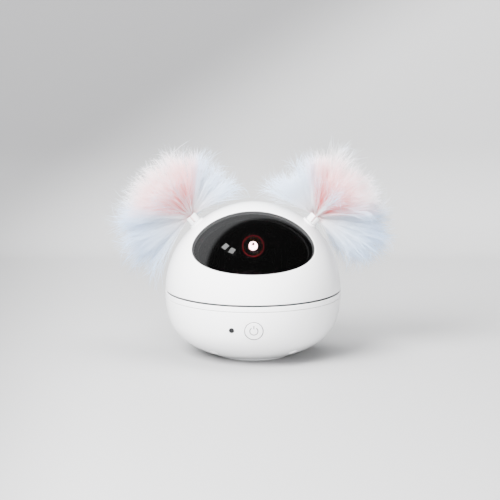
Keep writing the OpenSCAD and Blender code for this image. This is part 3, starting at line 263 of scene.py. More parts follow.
# Node group with named inputs and outputs: its tree, its input node and its output node
def newGroup(name, floats, vectors=(), colours=("Colour",), outputs=("Colour", "Roughness", "Height")):
    group = bpy.data.node_groups.new(name, "ShaderNodeTree")

    def addSocket(socketName, way, kind):
        return group.interface.new_socket(socketName, in_out=way, socket_type="NodeSocket" + kind)

    for vector in vectors:
        addSocket(vector, "INPUT", "Vector")
    for number, value in floats.items():
        addSocket(number, "INPUT", "Float").default_value = value
    for colour in colours:
        addSocket(colour, "INPUT", "Color")
    for output in outputs:
        addSocket(output, "OUTPUT", "Color" if output == "Colour" else "Float")
    return group, addNode(group, "NodeGroupInput"), addNode(group, "NodeGroupOutput")


def rampStops(ramp, stops):
    elements = ramp.color_ramp.elements
    while len(elements) > 1:
        elements.remove(elements[-1])
    elements[0].position, elements[0].color = stops[0][0], (*stops[0][1], 1)
    for position, colour in stops[1:]:
        elements.new(position).color = (*colour, 1)


# Skin of moulded plastic: very fine grain, slow waviness, and uneven gloss where it is handled
def makePlasticSkin():
    group, source, result = newGroup(
        "plasticSkin", {"Grain Size": 0.4, "Grain Depth": 0.1, "Gloss": 0.3, "Unevenness": 0.05})
    where = addNode(group, "ShaderNodeTexCoord")
    size = addNode(group, "ShaderNodeMath", {0: 1000}, operation="DIVIDE")
    grain = addNode(group, "ShaderNodeTexNoise", {"Detail": 3.0, "Roughness": 0.6})
    patches = addNode(group, "ShaderNodeTexNoise", {"Scale": 38.0, "Detail": 4.0, "Roughness": 0.62})
    deep = addNode(group, "ShaderNodeMath", operation="MULTIPLY")
    centred = addNode(group, "ShaderNodeMath", {1: 0.5}, operation="SUBTRACT")
    spread = addNode(group, "ShaderNodeMath", operation="MULTIPLY")
    rough = addNode(group, "ShaderNodeMath", operation="ADD", use_clamp=True)
    tint = addMix(group, None, (0.55, 0.55, 0.58), blend_type="MULTIPLY")
    shade = addRise(group, 0.3, 0.7, 0.035)
    wire(group, (source, "Grain Size", size, 1), (size, 0, grain, "Scale"),
         (where, "Object", grain, "Vector"), (where, "Object", patches, "Vector"),
         (grain, "Fac", deep, 0), (source, "Grain Depth", deep, 1), (deep, 0, result, "Height"),
         (patches, "Fac", centred, 0), (centred, 0, spread, 0), (source, "Unevenness", spread, 1),
         (spread, 0, rough, 0), (source, "Gloss", rough, 1), (rough, 0, result, "Roughness"),
         (patches, "Fac", shade, "Value"), (shade, "Result", tint, "Factor"),
         (source, "Colour", tint, "A"), (tint, "Result", result, "Colour"))
    return group


# Drawn or turned metal: streaks along one axis in colour, gloss and height
def makeMetalStreaks():
    group, source, result = newGroup("metalStreaks", {"Gloss": 0.3, "Depth": 0.1}, ["Streak Length"])
    where = addNode(group, "ShaderNodeTexCoord")
    stretch = addNode(group, "ShaderNodeVectorMath", operation="MULTIPLY")
    streaks = addNode(group, "ShaderNodeTexNoise", {"Scale": 1.0, "Detail": 4.0, "Roughness": 0.7})
    rough = addNode(group, "ShaderNodeMath", {1: 0.25}, operation="MULTIPLY_ADD")
    tint = addMix(group, None, (0.6, 0.6, 0.62), blend_type="MULTIPLY")
    shade = addRise(group, 0.35, 0.7, 0.4)
    deep = addNode(group, "ShaderNodeMath", operation="MULTIPLY")
    wire(group, (where, "Object", stretch, 0), (source, "Streak Length", stretch, 1),
         (stretch, 0, streaks, "Vector"), (streaks, "Fac", rough, 0), (source, "Gloss", rough, 2),
         (rough, 0, result, "Roughness"), (streaks, "Fac", shade, "Value"),
         (shade, "Result", tint, "Factor"), (source, "Colour", tint, "A"),
         (tint, "Result", result, "Colour"), (streaks, "Fac", deep, 0), (source, "Depth", deep, 1),
         (deep, 0, result, "Height"))
    return group


plasticSkin = makePlasticSkin()
metalStreaks = makeMetalStreaks()
bumpReach = 0.0001


def useGroup(tree, shader, group, values):
    skin = addNode(tree, "ShaderNodeGroup", values, node_tree=group)
    bump = addNode(tree, "ShaderNodeBump", {"Strength": 1.0, "Distance": bumpReach})
    wire(tree, (skin, "Colour", shader, "Base Color"), (skin, "Roughness", shader, "Roughness"),
         (skin, "Height", bump, "Height"), (bump, "Normal", shader, "Normal"))


def plastic(name, colour, gloss, grainSize=0.4, grainDepth=0.1, unevenness=0.08, **extras):
    material, tree, shader = newMaterial(name)
    useGroup(tree, shader, plasticSkin, {
        "Colour": (*colour, 1), "Gloss": gloss, "Grain Size": grainSize,
        "Grain Depth": grainDepth, "Unevenness": unevenness,
    })
    setInputs(shader, {key.replace("_", " "): value for key, value in extras.items()})
    return material


def metal(name, colour, gloss):
    material, tree, shader = newMaterial(name)
    useGroup(tree, shader, metalStreaks, {
        "Colour": (*colour, 1), "Gloss": gloss, "Streak Length": (120, 120, 2500), "Depth": 0.12,
    })
    setInputs(shader, {"Metallic": 1.0})
    return material


whiteShell = plastic("whiteShell", (0.86, 0.86, 0.868), 0.24, grainSize=0.25, grainDepth=0.012,
                     Coat_Weight=0.35, Coat_Roughness=0.06, Specular_IOR_Level=0.5)
footSilicone = plastic("footSilicone", (0.56, 0.57, 0.58), 0.62, grainSize=0.5, grainDepth=0.3)
darkPlasticAndPaintedShade = plastic("darkPlasticAndPaintedShade", (0.022, 0.022, 0.025), 0.48, grainSize=0.45, grainDepth=0.3)
indicatorPlastic = plastic("indicatorPlastic", (0.006, 0.006, 0.007), 0.3, grainDepth=0.02)
naturalPlastic = plastic("naturalPlastic", (0.74, 0.71, 0.60), 0.42, grainDepth=0.15)
cellWrap = plastic("cellWrap", (0.06, 0.17, 0.42), 0.28, grainSize=2.0, grainDepth=0.2)
leadJacket = plastic("leadJacket", (0.42, 0.02, 0.02), 0.4, grainSize=0.8, grainDepth=0.2)
darkLead = plastic("darkLead", (0.04, 0.04, 0.045), 0.4, grainSize=0.8, grainDepth=0.2)
plungerPlastic = plastic("plungerPlastic", (0.75, 0.36, 0.05), 0.4)
steel = metal("steel", (0.60, 0.61, 0.63), 0.22)
brass = metal("brass", (0.66, 0.46, 0.20), 0.24)


# Solder mask with copper tracks showing through it
def circuitBoard():
    material, tree, shader = newMaterial("circuitBoard")
    where = addNode(tree, "ShaderNodeTexCoord")
    tracks = addNode(tree, "ShaderNodeTexVoronoi", {"Scale": 420.0}, feature="DISTANCE_TO_EDGE")
    line = addRise(tree, 0.05, 0.09, 0.0)
    setInputs(line, {"To Min": 1.0})
    blend = addMix(tree, (0.012, 0.085, 0.035), (0.045, 0.20, 0.075))
    bump = addNode(tree, "ShaderNodeBump", {"Strength": 0.4, "Distance": 0.00005})
    wire(tree, (where, "Object", tracks, "Vector"), (tracks, "Distance", line, "Value"),
         (line, "Result", blend, "Factor"), (blend, "Result", shader, "Base Color"),
         (line, "Result", bump, "Height"), (bump, "Normal", shader, "Normal"))
    setInputs(shader, {"Roughness": 0.32})
    return material


boardMask = circuitBoard()


def glowing(name, colour, rim, strength, falloff):
    material, tree, shader = newMaterial(name)
    facing = addNode(tree, "ShaderNodeLayerWeight", {"Blend": falloff})
    blend = addMix(tree, colour, rim)
    wire(tree, (facing, "Facing", blend, "Factor"), (blend, "Result", shader, "Emission Color"),
         (blend, "Result", shader, "Base Color"))
    setInputs(shader, {"Emission Strength": strength, "Roughness": 0.3})
    return material


# Lit lens: white-pink, with a small red spot a little above its middle
def litLens(spotRise, spotRadius, strength):
    material, tree, shader = newMaterial("litLens")
    where = addNode(tree, "ShaderNodeTexCoord")
    flat = addNode(tree, "ShaderNodeVectorMath", {1: (1, 0, 1)}, operation="MULTIPLY")
    spotZ = (middleMm("laser_lens").z + spotRise) * mm
    away = addNode(tree, "ShaderNodeVectorMath", {1: (0, 0, spotZ)}, operation="DISTANCE")
    spot = addRise(tree, spotRadius * mm, spotRadius * 1.4 * mm, kind="SMOOTHSTEP")
    blend = addMix(tree, (0.003, 0.0, 0.0001), (1.0, 0.60, 0.66))
    wire(tree, (where, "Object", flat, 0), (flat, 0, away, 0), (away, "Value", spot, "Value"),
         (spot, "Result", blend, "Factor"), (blend, "Result", shader, "Emission Color"))
    setInputs(shader, {"Emission Strength": strength, "Roughness": 0.3,
                       "Base Color": (0.8, 0.3, 0.35, 1)})
    return material


# Smoked window: dark all through, polished, and just clear enough for the laser behind it
windowGlass = plastic("smokedWindow", (0.0006, 0.0006, 0.0006), 0.035, grainSize=6.0, grainDepth=0.004,
                      unevenness=0.03, Alpha=0.86, IOR=2.1)
lensGlow = litLens(1.15, 0.72, 800.0)
ringGlow = glowing("ringGlow", (0.9, 0.06, 0.10), (0.6, 0.03, 0.06), 7.0, 0.4)


# Hangs a piece on its body in place of the CAD nodes that it stands for
def settle(piece, body, material, slot, *stoodFor):
    if not any(piece.data.materials):
        wear(piece, material)
    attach(piece, body)
    if stoodFor:
        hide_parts(*stoodFor)


# CAD nodes that no piece stands for keep their shape and take these materials
cadFinish = {
    footSilicone: ["foot_ring"],
    darkPlasticAndPaintedShade: ["battery_holder", "board_chips", "tact_switch", "brush_block", "turntable",
                  "bracket_left", "bracket_right", "head_board_parts", "laser_cradle"],
    indicatorPlastic: ["indicator_lens"],
    naturalPlastic: ["hub_bush", "drive_gear", "board_sockets", "indicator_led"],
    boardMask: ["main_board", "button_board", "charge_board", "head_board", "slip_disc"],
    steel: ["base_screws", "board_screws", "button_board_screws", "charge_board_screws", "usb_socket",
            "drive_shaft", "hub_washer", "hub_screw", "head_screws", "bracket_screws", "motor_clip",
            "clip_screws", "head_board_screws", "tilt_shaft", "drive_motor", "tilt_motor"],
    brass: ["battery_contacts", "brush_contacts", "drive_pinion", "slip_tracks", "laser_barrel",
            "tilt_pinion"],
    cellWrap: ["battery_cell"],
    leadJacket: ["base_leads"],
    darkLead: ["head_leads"],
    plungerPlastic: ["switch_plunger"],
    lensGlow: ["laser_lens"],
    ringGlow: ["laser_ring"],
}
for material, names in cadFinish.items():
    for name in names:
        wear(nodes[name], material)
print("materials made")

# Dome: a shell of even wall with a rounded lip round the window and a rounded lower edge
domeSizes = {
    "lipRound": 0.55,
    "edgeRound": 0.4,
    "around": 288,
    "down": 110,
    "innerDown": 30,
    "lipSteps": 6,
    "edgeSteps": 4,
    "smooth": 50,
}
# The dome's opening follows the window, which is this size
windowSizes = {
    "halfWidth": 35.0,
    "halfHeight": 21.8,
    "tilt": 34.0,
    "rise": 10.2,
    "gap": 0.1,
    "thickness": 3.4,
    "edgeRound": 0.25,
    "sunk": 0.05,
    "around": 240,
    "across": (40, 12),
}
domeMiddle = Vector((0, 0, body["domeCentre"]))
windowPlace = Matrix.Translation(domeMiddle) @ Matrix.Rotation(
    radians(90 - windowSizes["tilt"]), 4, "X")


# Point of a sphere round the dome's middle, on the window's outline grown by some millimetres
def outlinePoint(angle, r, grow=0.0, share=1.0):
    x = (windowSizes["halfWidth"] + grow) * share * cos(angle)
    y = windowSizes["rise"] + (windowSizes["halfHeight"] + grow) * share * sin(angle)
    return windowPlace @ Vector((x, y, sqrt(r * r - x * x - y * y)))


def betweenOnSphere(a, b, steps):
    u, v = a - domeMiddle, b - domeMiddle
    whole = u.angle(v)
    return [
        domeMiddle + (u * sin(whole * (1 - i / steps)) + v * sin(whole * i / steps)) / sin(whole)
        for i in range(steps + 1)
    ]


def buildDome(sizes):
    outer, inner = body["radius"], body["radius"] - body["wall"]
    lip, edge = sizes["lipRound"], sizes["edgeRound"]
    lowZ = body["domeLow"] + edge
    reach = sqrt(outer ** 2 - (body["domeCentre"] - lowZ) ** 2)
    innerReach = sqrt(inner ** 2 - (body["domeCentre"] - body["domeLow"]) ** 2)
    rings = []
    for i in range(sizes["around"]):
        a = 2 * pi * i / sizes["around"]
        start = outlinePoint(a, outer, lip)
        end = Vector((reach * cos(a), reach * sin(a), lowZ))
        ring = betweenOnSphere(start, end, sizes["down"])
        ring += [Vector((r * cos(a), r * sin(a), z))
                 for r, z in arc((reach - edge, lowZ), edge, 0, -90, sizes["edgeSteps"])[1:]]
        innerEnd = Vector((innerReach * cos(a), innerReach * sin(a), body["domeLow"]))
        normal = (start - domeMiddle).normalized()
        towards = outlinePoint(a, outer, 0.0) - start
        towards = (towards - normal * towards.dot(normal)).normalized()
        turn = start - normal * lip
        wallEnd = turn + towards * lip - normal * (body["wall"] - lip)
        ring += betweenOnSphere(innerEnd, wallEnd, sizes["innerDown"])
        ring += [turn + lip * (normal * sin(t) + towards * cos(t))
                 for t in (radians(90 * s / sizes["lipSteps"]) for s in range(sizes["lipSteps"]))]
        rings.append(ring)
    return ringGrid("dome", rings, sizes["smooth"])


# Ear sockets: a low boss on the dome with a blind bore for the feather plug
earSizes = {
    "angle": 50.0,
    "bossRadius": 4.4,
    "bossHeight": 0.9,
    "bossRound": 0.35,
    "flare": 0.7,
    "bore": 2.65,
    "boreDepth": 9.6,
    "sleeveWall": 1.5,
    "sunk": 1.5,
    "chamfer": 0.3,
    "mouth": 0.4,
    "above": 5,
    "steps": 96,
}


def earAxis(side):
    lean = radians(earSizes["angle"])
    return side * cos(lean), 0, sin(lean)


def earPlace(side):
    return Matrix.Translation(domeMiddle) @ Matrix.Rotation(
        side * radians(90 - earSizes["angle"]), 4, "Y")


def buildEarBoss(sizes, side):
    outer, top = sizes["bossRadius"], body["radius"] + sizes["bossHeight"]
    corner, flare = sizes["bossRound"], sizes["flare"]
    foot = sqrt(body["radius"] ** 2 - (outer + flare) ** 2)
    low = body["radius"] - sizes["sunk"]
    profile = [(0, low), (outer + flare, low), (outer + flare, foot)]
    profile += arc((outer + flare, foot + flare), flare, -90, -180, 6)[1:]
    profile += arc((outer - corner, top - corner), corner, 0, 90, 5)
    profile += [(0, top)]
    return lathe("earBoss", profile, earPlace(side), sizes["steps"])


def buildEarBore(sizes, side):
    top, r = body["radius"] + sizes["bossHeight"], sizes["bore"]
    low, rim = top - sizes["boreDepth"], top - sizes["chamfer"]
    mouth, above = r + sizes["mouth"], top + sizes["above"]
    profile = [(0, low), (r, low), (r, rim), (mouth, top + 0.1), (mouth, above), (0, above)]
    return lathe("earBore", profile, earPlace(side), sizes["steps"])


def buildEarSleeve(sizes, side):
    chamfer = sizes["chamfer"]
    top = body["radius"] - body["wall"] + chamfer
    low = body["radius"] + sizes["bossHeight"] - sizes["boreDepth"] - sizes["sleeveWall"]
    r = sizes["bore"] + sizes["sleeveWall"]
    profile = [(0, low), (r - chamfer, low), (r, low + chamfer), (r, top), (0, top)]
    return lathe("earSleeve", profile, earPlace(side), sizes["steps"])


# Posts of the dome: they end inside the curved shell
headPosts = {
    "ring": 40.0,
    "angles": (10, 90, 170),
    "radius": 3.2,
    "bore": 1.25,
    "boreDepth": 8.5,
    "low": 39.9,
    "sunk": 0.9,
}


def buildHeadPosts(sizes, r, low, high=None):
    inShell = body["radius"] - sizes["sunk"]

    def post(x0, y0):
        def underDome(x, y):
            return body["domeCentre"] + sqrt(inShell ** 2 - (x0 + x) ** 2 - (y0 + y) ** 2)
        return rod(r, low, high or underDome, upright(x0, y0), steps=48)

    return [post(*onRing(sizes["ring"], a)) for a in sizes["angles"]]


dome = buildDome(domeSizes)
stands = [build(earSizes, side) for build in (buildEarBoss, buildEarSleeve) for side in (-1, 1)]
stands += buildHeadPosts(headPosts, headPosts["radius"], headPosts["low"])
carve(dome, stands, "UNION", domeSizes["smooth"])
bores = [buildEarBore(earSizes, side) for side in (-1, 1)]
bores += buildHeadPosts(headPosts, headPosts["bore"], headPosts["low"] - 1,
                        headPosts["low"] + headPosts["boreDepth"])
carve(dome, bores, smoothAngle=domeSizes["smooth"])
settle(dome, "turret", whiteShell, "white_shell", "head_shell")
print("dome built")


# Window: a curved pane that fills the opening flush, with softly rounded edges
def buildWindow(sizes):
    outer = body["radius"] - sizes["sunk"]
    inner = outer - sizes["thickness"]
    gap, corner, around = sizes["gap"], sizes["edgeRound"], sizes["around"]
    across, innerAcross = sizes["across"]
    points, faces = [], []

    def ringAt(r, grow, share):
        first = len(points)
        points.extend(outlinePoint(2 * pi * i / around, r, grow, share) for i in range(around))
        return first

    def middleAt(r):
        points.append(windowPlace @ Vector((0, sizes["rise"], sqrt(r * r - sizes["rise"] ** 2))))
        return len(points) - 1

    top = middleAt(outer)
    rows = [ringAt(outer, -gap - corner, s / across) for s in range(1, across + 1)]
    for slope in map(radians, (30, 60, 90)):
        rows.append(ringAt(outer - corner * (1 - cos(slope)), -gap - corner * (1 - sin(slope)), 1.0))
    rows.append(ringAt(inner, -gap, 1.0))
    rows += [ringAt(inner, -gap - corner, s / innerAcross) for s in range(innerAcross, 0, -1)]
    low = middleAt(inner)
    nextTo = [(i, (i + 1) % around) for i in range(around)]
    faces += [(top, rows[0] + i, rows[0] + j) for i, j in nextTo]
    for a, b in zip(rows, rows[1:]):
        faces += [(a + i, a + j, b + j, b + i) for i, j in nextTo]
    faces += [(low, rows[-1] + j, rows[-1] + i) for i, j in nextTo]
    return addMesh("windowPane", points, faces, domeSizes["smooth"])


windowPane = buildWindow(windowSizes)
settle(windowPane, "turret", windowGlass, "dark_window", "window")
print("window built")

# Base: three arcs make its side, lower corner and belly
baseSizes = {
    "sideRadius": 48.0,
    "sideDrop": 2.3,
    "sideEnd": 18.9,
    "cornerRadius": 21.2,
    "cornerEnd": 56.0,
    "bellyRadius": 57.0,
    "partingChamfer": 0.1,
    "arcSteps": 40,
    "around": 320,
}
sideC = Vector((body["radius"] - sqrt(baseSizes["sideRadius"] ** 2 - baseSizes["sideDrop"] ** 2),
                body["seam"] - baseSizes["sideDrop"]))
sideDirection = Vector(onRing(1, -baseSizes["sideEnd"]))
cornerC = sideC + (baseSizes["sideRadius"] - baseSizes["cornerRadius"]) * sideDirection
cornerDirection = Vector(onRing(1, -baseSizes["cornerEnd"]))
bellyC = cornerC + (baseSizes["cornerRadius"] - baseSizes["bellyRadius"]) * cornerDirection


# Profile of the base from one height down to another, set in by some millimetres
def baseProfile(inset, high, low):
    r1 = baseSizes["sideRadius"] - inset
    r2 = baseSizes["cornerRadius"] - inset
    r3 = baseSizes["bellyRadius"] - inset
    first = degrees(asin((high - sideC.y) / r1))
    if low > sideC.y - r1 * sin(radians(baseSizes["sideEnd"])):
        return arc(sideC, r1, first, degrees(asin((low - sideC.y) / r1)), 6)
    last = degrees(asin((low - bellyC.y) / r3))
    steps = baseSizes["arcSteps"]
    points = arc(sideC, r1, first, -baseSizes["sideEnd"], steps)
    points += arc(cornerC, r2, -baseSizes["sideEnd"], -baseSizes["cornerEnd"], steps)[1:]
    return points + arc(bellyC, r3, -baseSizes["cornerEnd"], last, steps)[1:]


# Outer radius of the base at a height
def baseRadius(z, inset=0.0):
    if z > sideC.y - baseSizes["sideRadius"] * sin(radians(baseSizes["sideEnd"])):
        return sideC.x + sqrt((baseSizes["sideRadius"] - inset) ** 2 - (z - sideC.y) ** 2)
    return cornerC.x + sqrt((baseSizes["cornerRadius"] - inset) ** 2 - (z - cornerC.y) ** 2)


# Posts, guides and openings of the base, laid out as in the frame. Bores are radius, low and high
buttonMiddle = middleMm("power_button")
buttonPlace = alongFront(buttonMiddle.x, buttonMiddle.z)
lensMiddle, usbMiddle = middleMm("indicator_lens"), middleMm("usb_socket")
usbLow, usbHigh = boxMm("usb_socket")
footHigh = boxMm("foot_ring")[1]
motorLow, motorHigh = boxMm("drive_motor")
motorRadius = (motorHigh.y - motorLow.y) / 2
motorX = motorLow.x + motorRadius
layout = {
    "casing": [onRing(35.0, a) for a in (25, 155, 230, 310)],
    "casingSplit": 12.2,
    "casingPost": 3.3,
    "casingHead": (2.6, -1, 10.0),
    "casingBore": (1.4, 5, 14.0),
    "board": [(8, -12), (24, -12), (24, 9)],
    "boardSeat": 8.0,
    "charge": [(-6.6, 33.6), (6.6, 33.6)],
    "chargeSeat": 13.0,
    "cell": [(-18, 19.6), (18, 19.6)],
    "cellSeat": 8.8,
    "standoff": 2.1,
    "mounts": (-17.05, 17.05),
    "mountPost": 2.2,
    "mountFace": 37.58,
    "guide": 6.5,
    "guideEnd": 43.58,
    "button": 5.45,
    "buttonBore": 5.1,
    "buttonStep": 44.8,
    "indicator": 1.57,
    "usbClear": 0.3,
    "footWidth": 5.0,
    "clamp": [(-29.0, -6), (-29.0, 6)],
    "clampPost": 2.2,
    "clampLow": 20.4,
    "motorWall": 1.5,
    "motorLedge": 2.6,
    "motorRise": 6.5,
    "clear": 0.02,
    "boreEnd": 40,
    "throughWall": 60,
}


def buildBowl(sizes):
    top, chamfer, low = body["deckLow"], sizes["partingChamfer"], body["bowlLow"]
    floor, over = low + body["wall"], top + 0.5
    outer = baseProfile(0, top - chamfer, low)
    inner = baseProfile(body["wall"], over, floor)
    solid = lathe("bowl", [(0, low)] + outer[::-1] + [(outer[0][0] - chamfer, top), (0, top)],
                  steps=sizes["around"])
    hollow = lathe("hollow", [(0, floor)] + inner[::-1] + [(0, over)], steps=sizes["around"])
    # all that stands up inside is kept out of the hollow
    through = layout["throughWall"]
    stands = rods(layout["casing"], layout["casingPost"], 0, layout["casingSplit"])
    for kind in ("board", "charge", "cell"):
        stands += rods(layout[kind], layout["standoff"], 0, layout[kind + "Seat"], steps=48)
    for x in layout["mounts"]:
        stands.append(rod(layout["mountPost"], layout["mountFace"], through,
                          alongFront(x, buttonMiddle.z), steps=48))
    stands.append(rod(layout["guide"], layout["guideEnd"], through, buttonPlace, steps=96))
    ledge, seat = motorRadius - layout["motorLedge"], motorRadius + layout["clear"]
    wall, rest = motorRadius + layout["motorWall"], motorLow.z
    rim = rest + layout["motorRise"]
    cradle = [(ledge, 0), (wall, 0), (wall, rim), (seat, rim), (seat, rest), (ledge, rest)]
    stands.append(lathe("cradle", cradle, upright(motorX, 0), steps=128, closed=True))
    carve(hollow, stands)
    return carve(solid, [hollow])


def inletTool(grow):
    half = (usbHigh.x - usbLow.x) / 2 + grow
    r = (usbHigh.z - usbLow.z) / 2 + grow
    loop = arc((half - r, 0), r, -90, 90, 12) + arc((r - half, 0), r, 90, 270, 12)
    ends = usbHigh.y - 5, usbHigh.y + 10
    points = [(x + usbMiddle.x, y, z + usbMiddle.z) for y in ends for x, z in loop]
    n = len(loop)
    faces = [tuple(range(n)), tuple(range(n, 2 * n))[::-1]]
    faces += [(i, n + i, n + (i + 1) % n, (i + 1) % n) for i in range(n)]
    return addMesh("inletTool", points, faces)


# Dark colour for painted shade in gaps and bores
gapShade = plastic("gapShade", (0.03, 0.03, 0.032), 0.5, grainDepth=0.05)


# Another paint on some rows of a turned white piece. A row is what one step of its profile sweeps
def paintRows(piece, rows, around, paint):
    wear(piece, whiteShell, paint)
    for row in rows:
        for face in piece.data.polygons[row * around:(row + 1) * around]:
            face.material_index = 1


def pierceBowl(piece):
    front, inside = body["radius"] + 10, layout["boreEnd"]
    gap = rod(layout["button"], layout["buttonStep"], front, buttonPlace, steps=128)
    lensBore = rod(layout["indicator"], inside, front, alongFront(lensMiddle.x, lensMiddle.z), steps=96)
    # painted shade: the gap round the button and the indicator bore take a dark colour
    for tool in (gap, lensBore):
        wear(tool, gapShade)
    wear(piece, whiteShell)
    tools = [rod(layout["buttonBore"], inside, front, buttonPlace, steps=128), gap, lensBore,
             inletTool(layout["usbClear"])]
    for p in layout["casing"]:
        tools.append(rod(*layout["casingHead"], upright(*p)))
        tools.append(rod(*layout["casingBore"], upright(*p), steps=32))
    footIn, footOut = footHigh.x - layout["footWidth"], footHigh.x + layout["clear"]
    foot = [(footIn, -1), (footOut, -1), (footOut, footHigh.z), (footIn, footHigh.z)]
    tools.append(lathe("footSeat", foot, closed=True))
    return carve(piece, tools)


bowl = pierceBowl(buildBowl(baseSizes))
settle(bowl, "base", whiteShell, "white_shell", "base_bowl")
print("bowl built")

# Deck: the top ring of the base, with a groove under it; painted shade darkens that groove and the top
# inside a thin white rim
deckSizes = {
    "partingGap": (0.32, 0.7),
    "grooveRow": 7,
    "rimRound": 0.35,
    "whiteRim": 0.35,
    "lip": 3.2,
    "bore": 9.07,
    "boss": 11.27,
    "bearingDrop": 4.1,
    "spigotDrop": 1.6,
    "spigotClear": 0.15,
    "spigotWall": 1.35,
    "screwBore": (1.25, 10, 24),
}


def buildDeck(sizes):
    high, low, edge = deckHigh.z, body["deckLow"], sizes["rimRound"]
    gap, deep = sizes["partingGap"]
    bore, boss = sizes["bore"], sizes["boss"]
    bearing, spigotLow = low - sizes["bearingDrop"], low - sizes["spigotDrop"]
    spigot = baseRadius(spigotLow, body["wall"]) - sizes["spigotClear"]
    spigotIn = spigot - sizes["spigotWall"]
    side = baseProfile(0, high - edge, low + gap)
    grooveR, rimR = side[-1][0] - deep, side[0][0] - edge
    lipR = body["radius"] - sizes["lip"]
    profile = [(bore, bearing), (boss, bearing), (boss, low), (spigotIn, low), (spigotIn, spigotLow),
               (spigot, spigotLow), (spigot, low), (grooveR, low), (grooveR, low + gap)]
    profile += side[::-1] + arc((rimR, high - edge), edge, 0, 90, 5)[1:]
    shadedTopRow = len(profile)
    profile += [(rimR - sizes["whiteRim"], high), (lipR + edge, high)]
    profile += arc((lipR + edge, high - edge), edge, 90, 180, 4)[1:]
    profile += [(lipR, body["deckTop"]), (bore, body["deckTop"])]
    deck = lathe("deckRing", profile, steps=baseSizes["around"], closed=True)
    # painted shade: the groove and the top inside the white rim take a dark colour, where the gap to the
    # head is
    paintRows(deck, (sizes["grooveRow"], shadedTopRow), baseSizes["around"], darkPlasticAndPaintedShade)
    into = low + 0.5
    posts = rods(layout["casing"], layout["casingPost"], layout["casingSplit"], into)
    posts += rods(layout["clamp"], layout["clampPost"], layout["clampLow"], into, steps=48)
    carve(deck, posts, "UNION")
    return carve(deck, rods(layout["casing"], *sizes["screwBore"], steps=32))


deckRing = buildDeck(deckSizes)
settle(deckRing, "base", whiteShell, "white_shell", "base_deck")
print("deck built")

# Power button: its face follows the side of the base, a little proud, with a shallow sign in it
buttonSizes = {
    "radius": 5.05,
    "proud": 0.15,
    "edgeRound": 0.22,
    "flangeRadius": 6.05,
    "flangeFront": 43.58,
    "flange": 1.2,
    "stemRadius": 2.0,
    "stemEnd": 41.88,
    "signRing": (2.02, 2.58),
    "signOpen": 35,
    "signBar": (1.25, 3.2),
    "signBarWidth": 0.54,
    "signDepth": 0.15,
    "signSteps": (48, 8),
    "beyond": 50,
    "around": 128,
    "roundSteps": 6,
    "faceRings": 14,
    "sideRow": 5,
}
signPaint = plastic("signPaint", (0.10, 0.10, 0.11), 0.4, grainDepth=0.05)


def buttonFace(sunk):
    def height(x, y):
        r = baseRadius(buttonMiddle.z + y) + buttonSizes["proud"]
        return sqrt(r * r - (buttonMiddle.x + x) ** 2) - sunk
    return height


def buildSign(sizes):
    near, far = sizes["signRing"]
    ringSteps, barSteps = sizes["signSteps"]
    start, sweep = 90 + sizes["signOpen"], 360 - 2 * sizes["signOpen"]
    turns = [start + sweep * i / ringSteps for i in range(ringSteps + 1)]
    half = sizes["signBarWidth"] / 2
    low, high = sizes["signBar"]
    rises = [low + (high - low) * i / barSteps for i in range(barSteps + 1)]
    strips = [[(onRing(far, t), onRing(near, t)) for t in turns],
              [((half, y), (-half, y)) for y in rises]]
    floor, beyond, tools = buttonFace(sizes["signDepth"]), sizes["beyond"], []
    for strip in strips:
        points, faces = [], []
        for a, b in strip:
            corners = (*a, floor(*a)), (*b, floor(*b)), (*b, beyond), (*a, beyond)
            points += [buttonPlace @ Vector(corner) for corner in corners]
        last = len(points) - 4
        for i in range(0, last, 4):
            faces += [(i + k, i + m, i + 4 + m, i + 4 + k) for k, m in ((0, 1), (1, 2), (2, 3), (3, 0))]
        faces += [(3, 2, 1, 0), (last, last + 1, last + 2, last + 3)]
        tools.append(addMesh("signTool", points, faces))
        wear(tools[-1], signPaint)
    return tools


def buildButton(sizes):
    r, edge = sizes["radius"], sizes["edgeRound"]
    stem, end = sizes["stemRadius"], sizes["stemEnd"]
    flange, front = sizes["flangeRadius"], sizes["flangeFront"]
    back = front - sizes["flange"]
    profile = [(0, end), (stem, end), (stem, back), (flange, back), (flange, front), (r, front)]
    profile += [(r - edge * (1 - cos(t)), buttonFace(edge * (1 - sin(t))))
                for t in (radians(90 * i / sizes["roundSteps"]) for i in range(sizes["roundSteps"]))]
    profile += [((r - edge) * i / sizes["faceRings"], buttonFace(0))
                for i in range(sizes["faceRings"], -1, -1)]
    button = lathe("powerButton", profile, buttonPlace, sizes["around"])
    # painted shade on the button's side wall, down in the gap round it
    paintRows(button, [sizes["sideRow"]], sizes["around"], gapShade)
    return carve(button, buildSign(sizes), smoothAngle=30)


powerButton = buildButton(buttonSizes)
settle(powerButton, "power_button", whiteShell, "white_shell", "power_button")
print("button built")

# Feather plugs: a collar that stands on the ear boss, slit at the front, over a plug
ferruleSizes = {
    "radius": 3.3,
    "low": 50.9,
    "top": 55.7,
    "edgeRound": 0.35,
    "plugRadius": 2.6,
    "plugLow": 42.9,
    "bore": 1.92,
    "boreLow": 51.7,
    "slitWidth": 0.9,
    "slitLow": 51.5,
    "chamfer": 0.3,
    "mouthRound": 0.25,
}


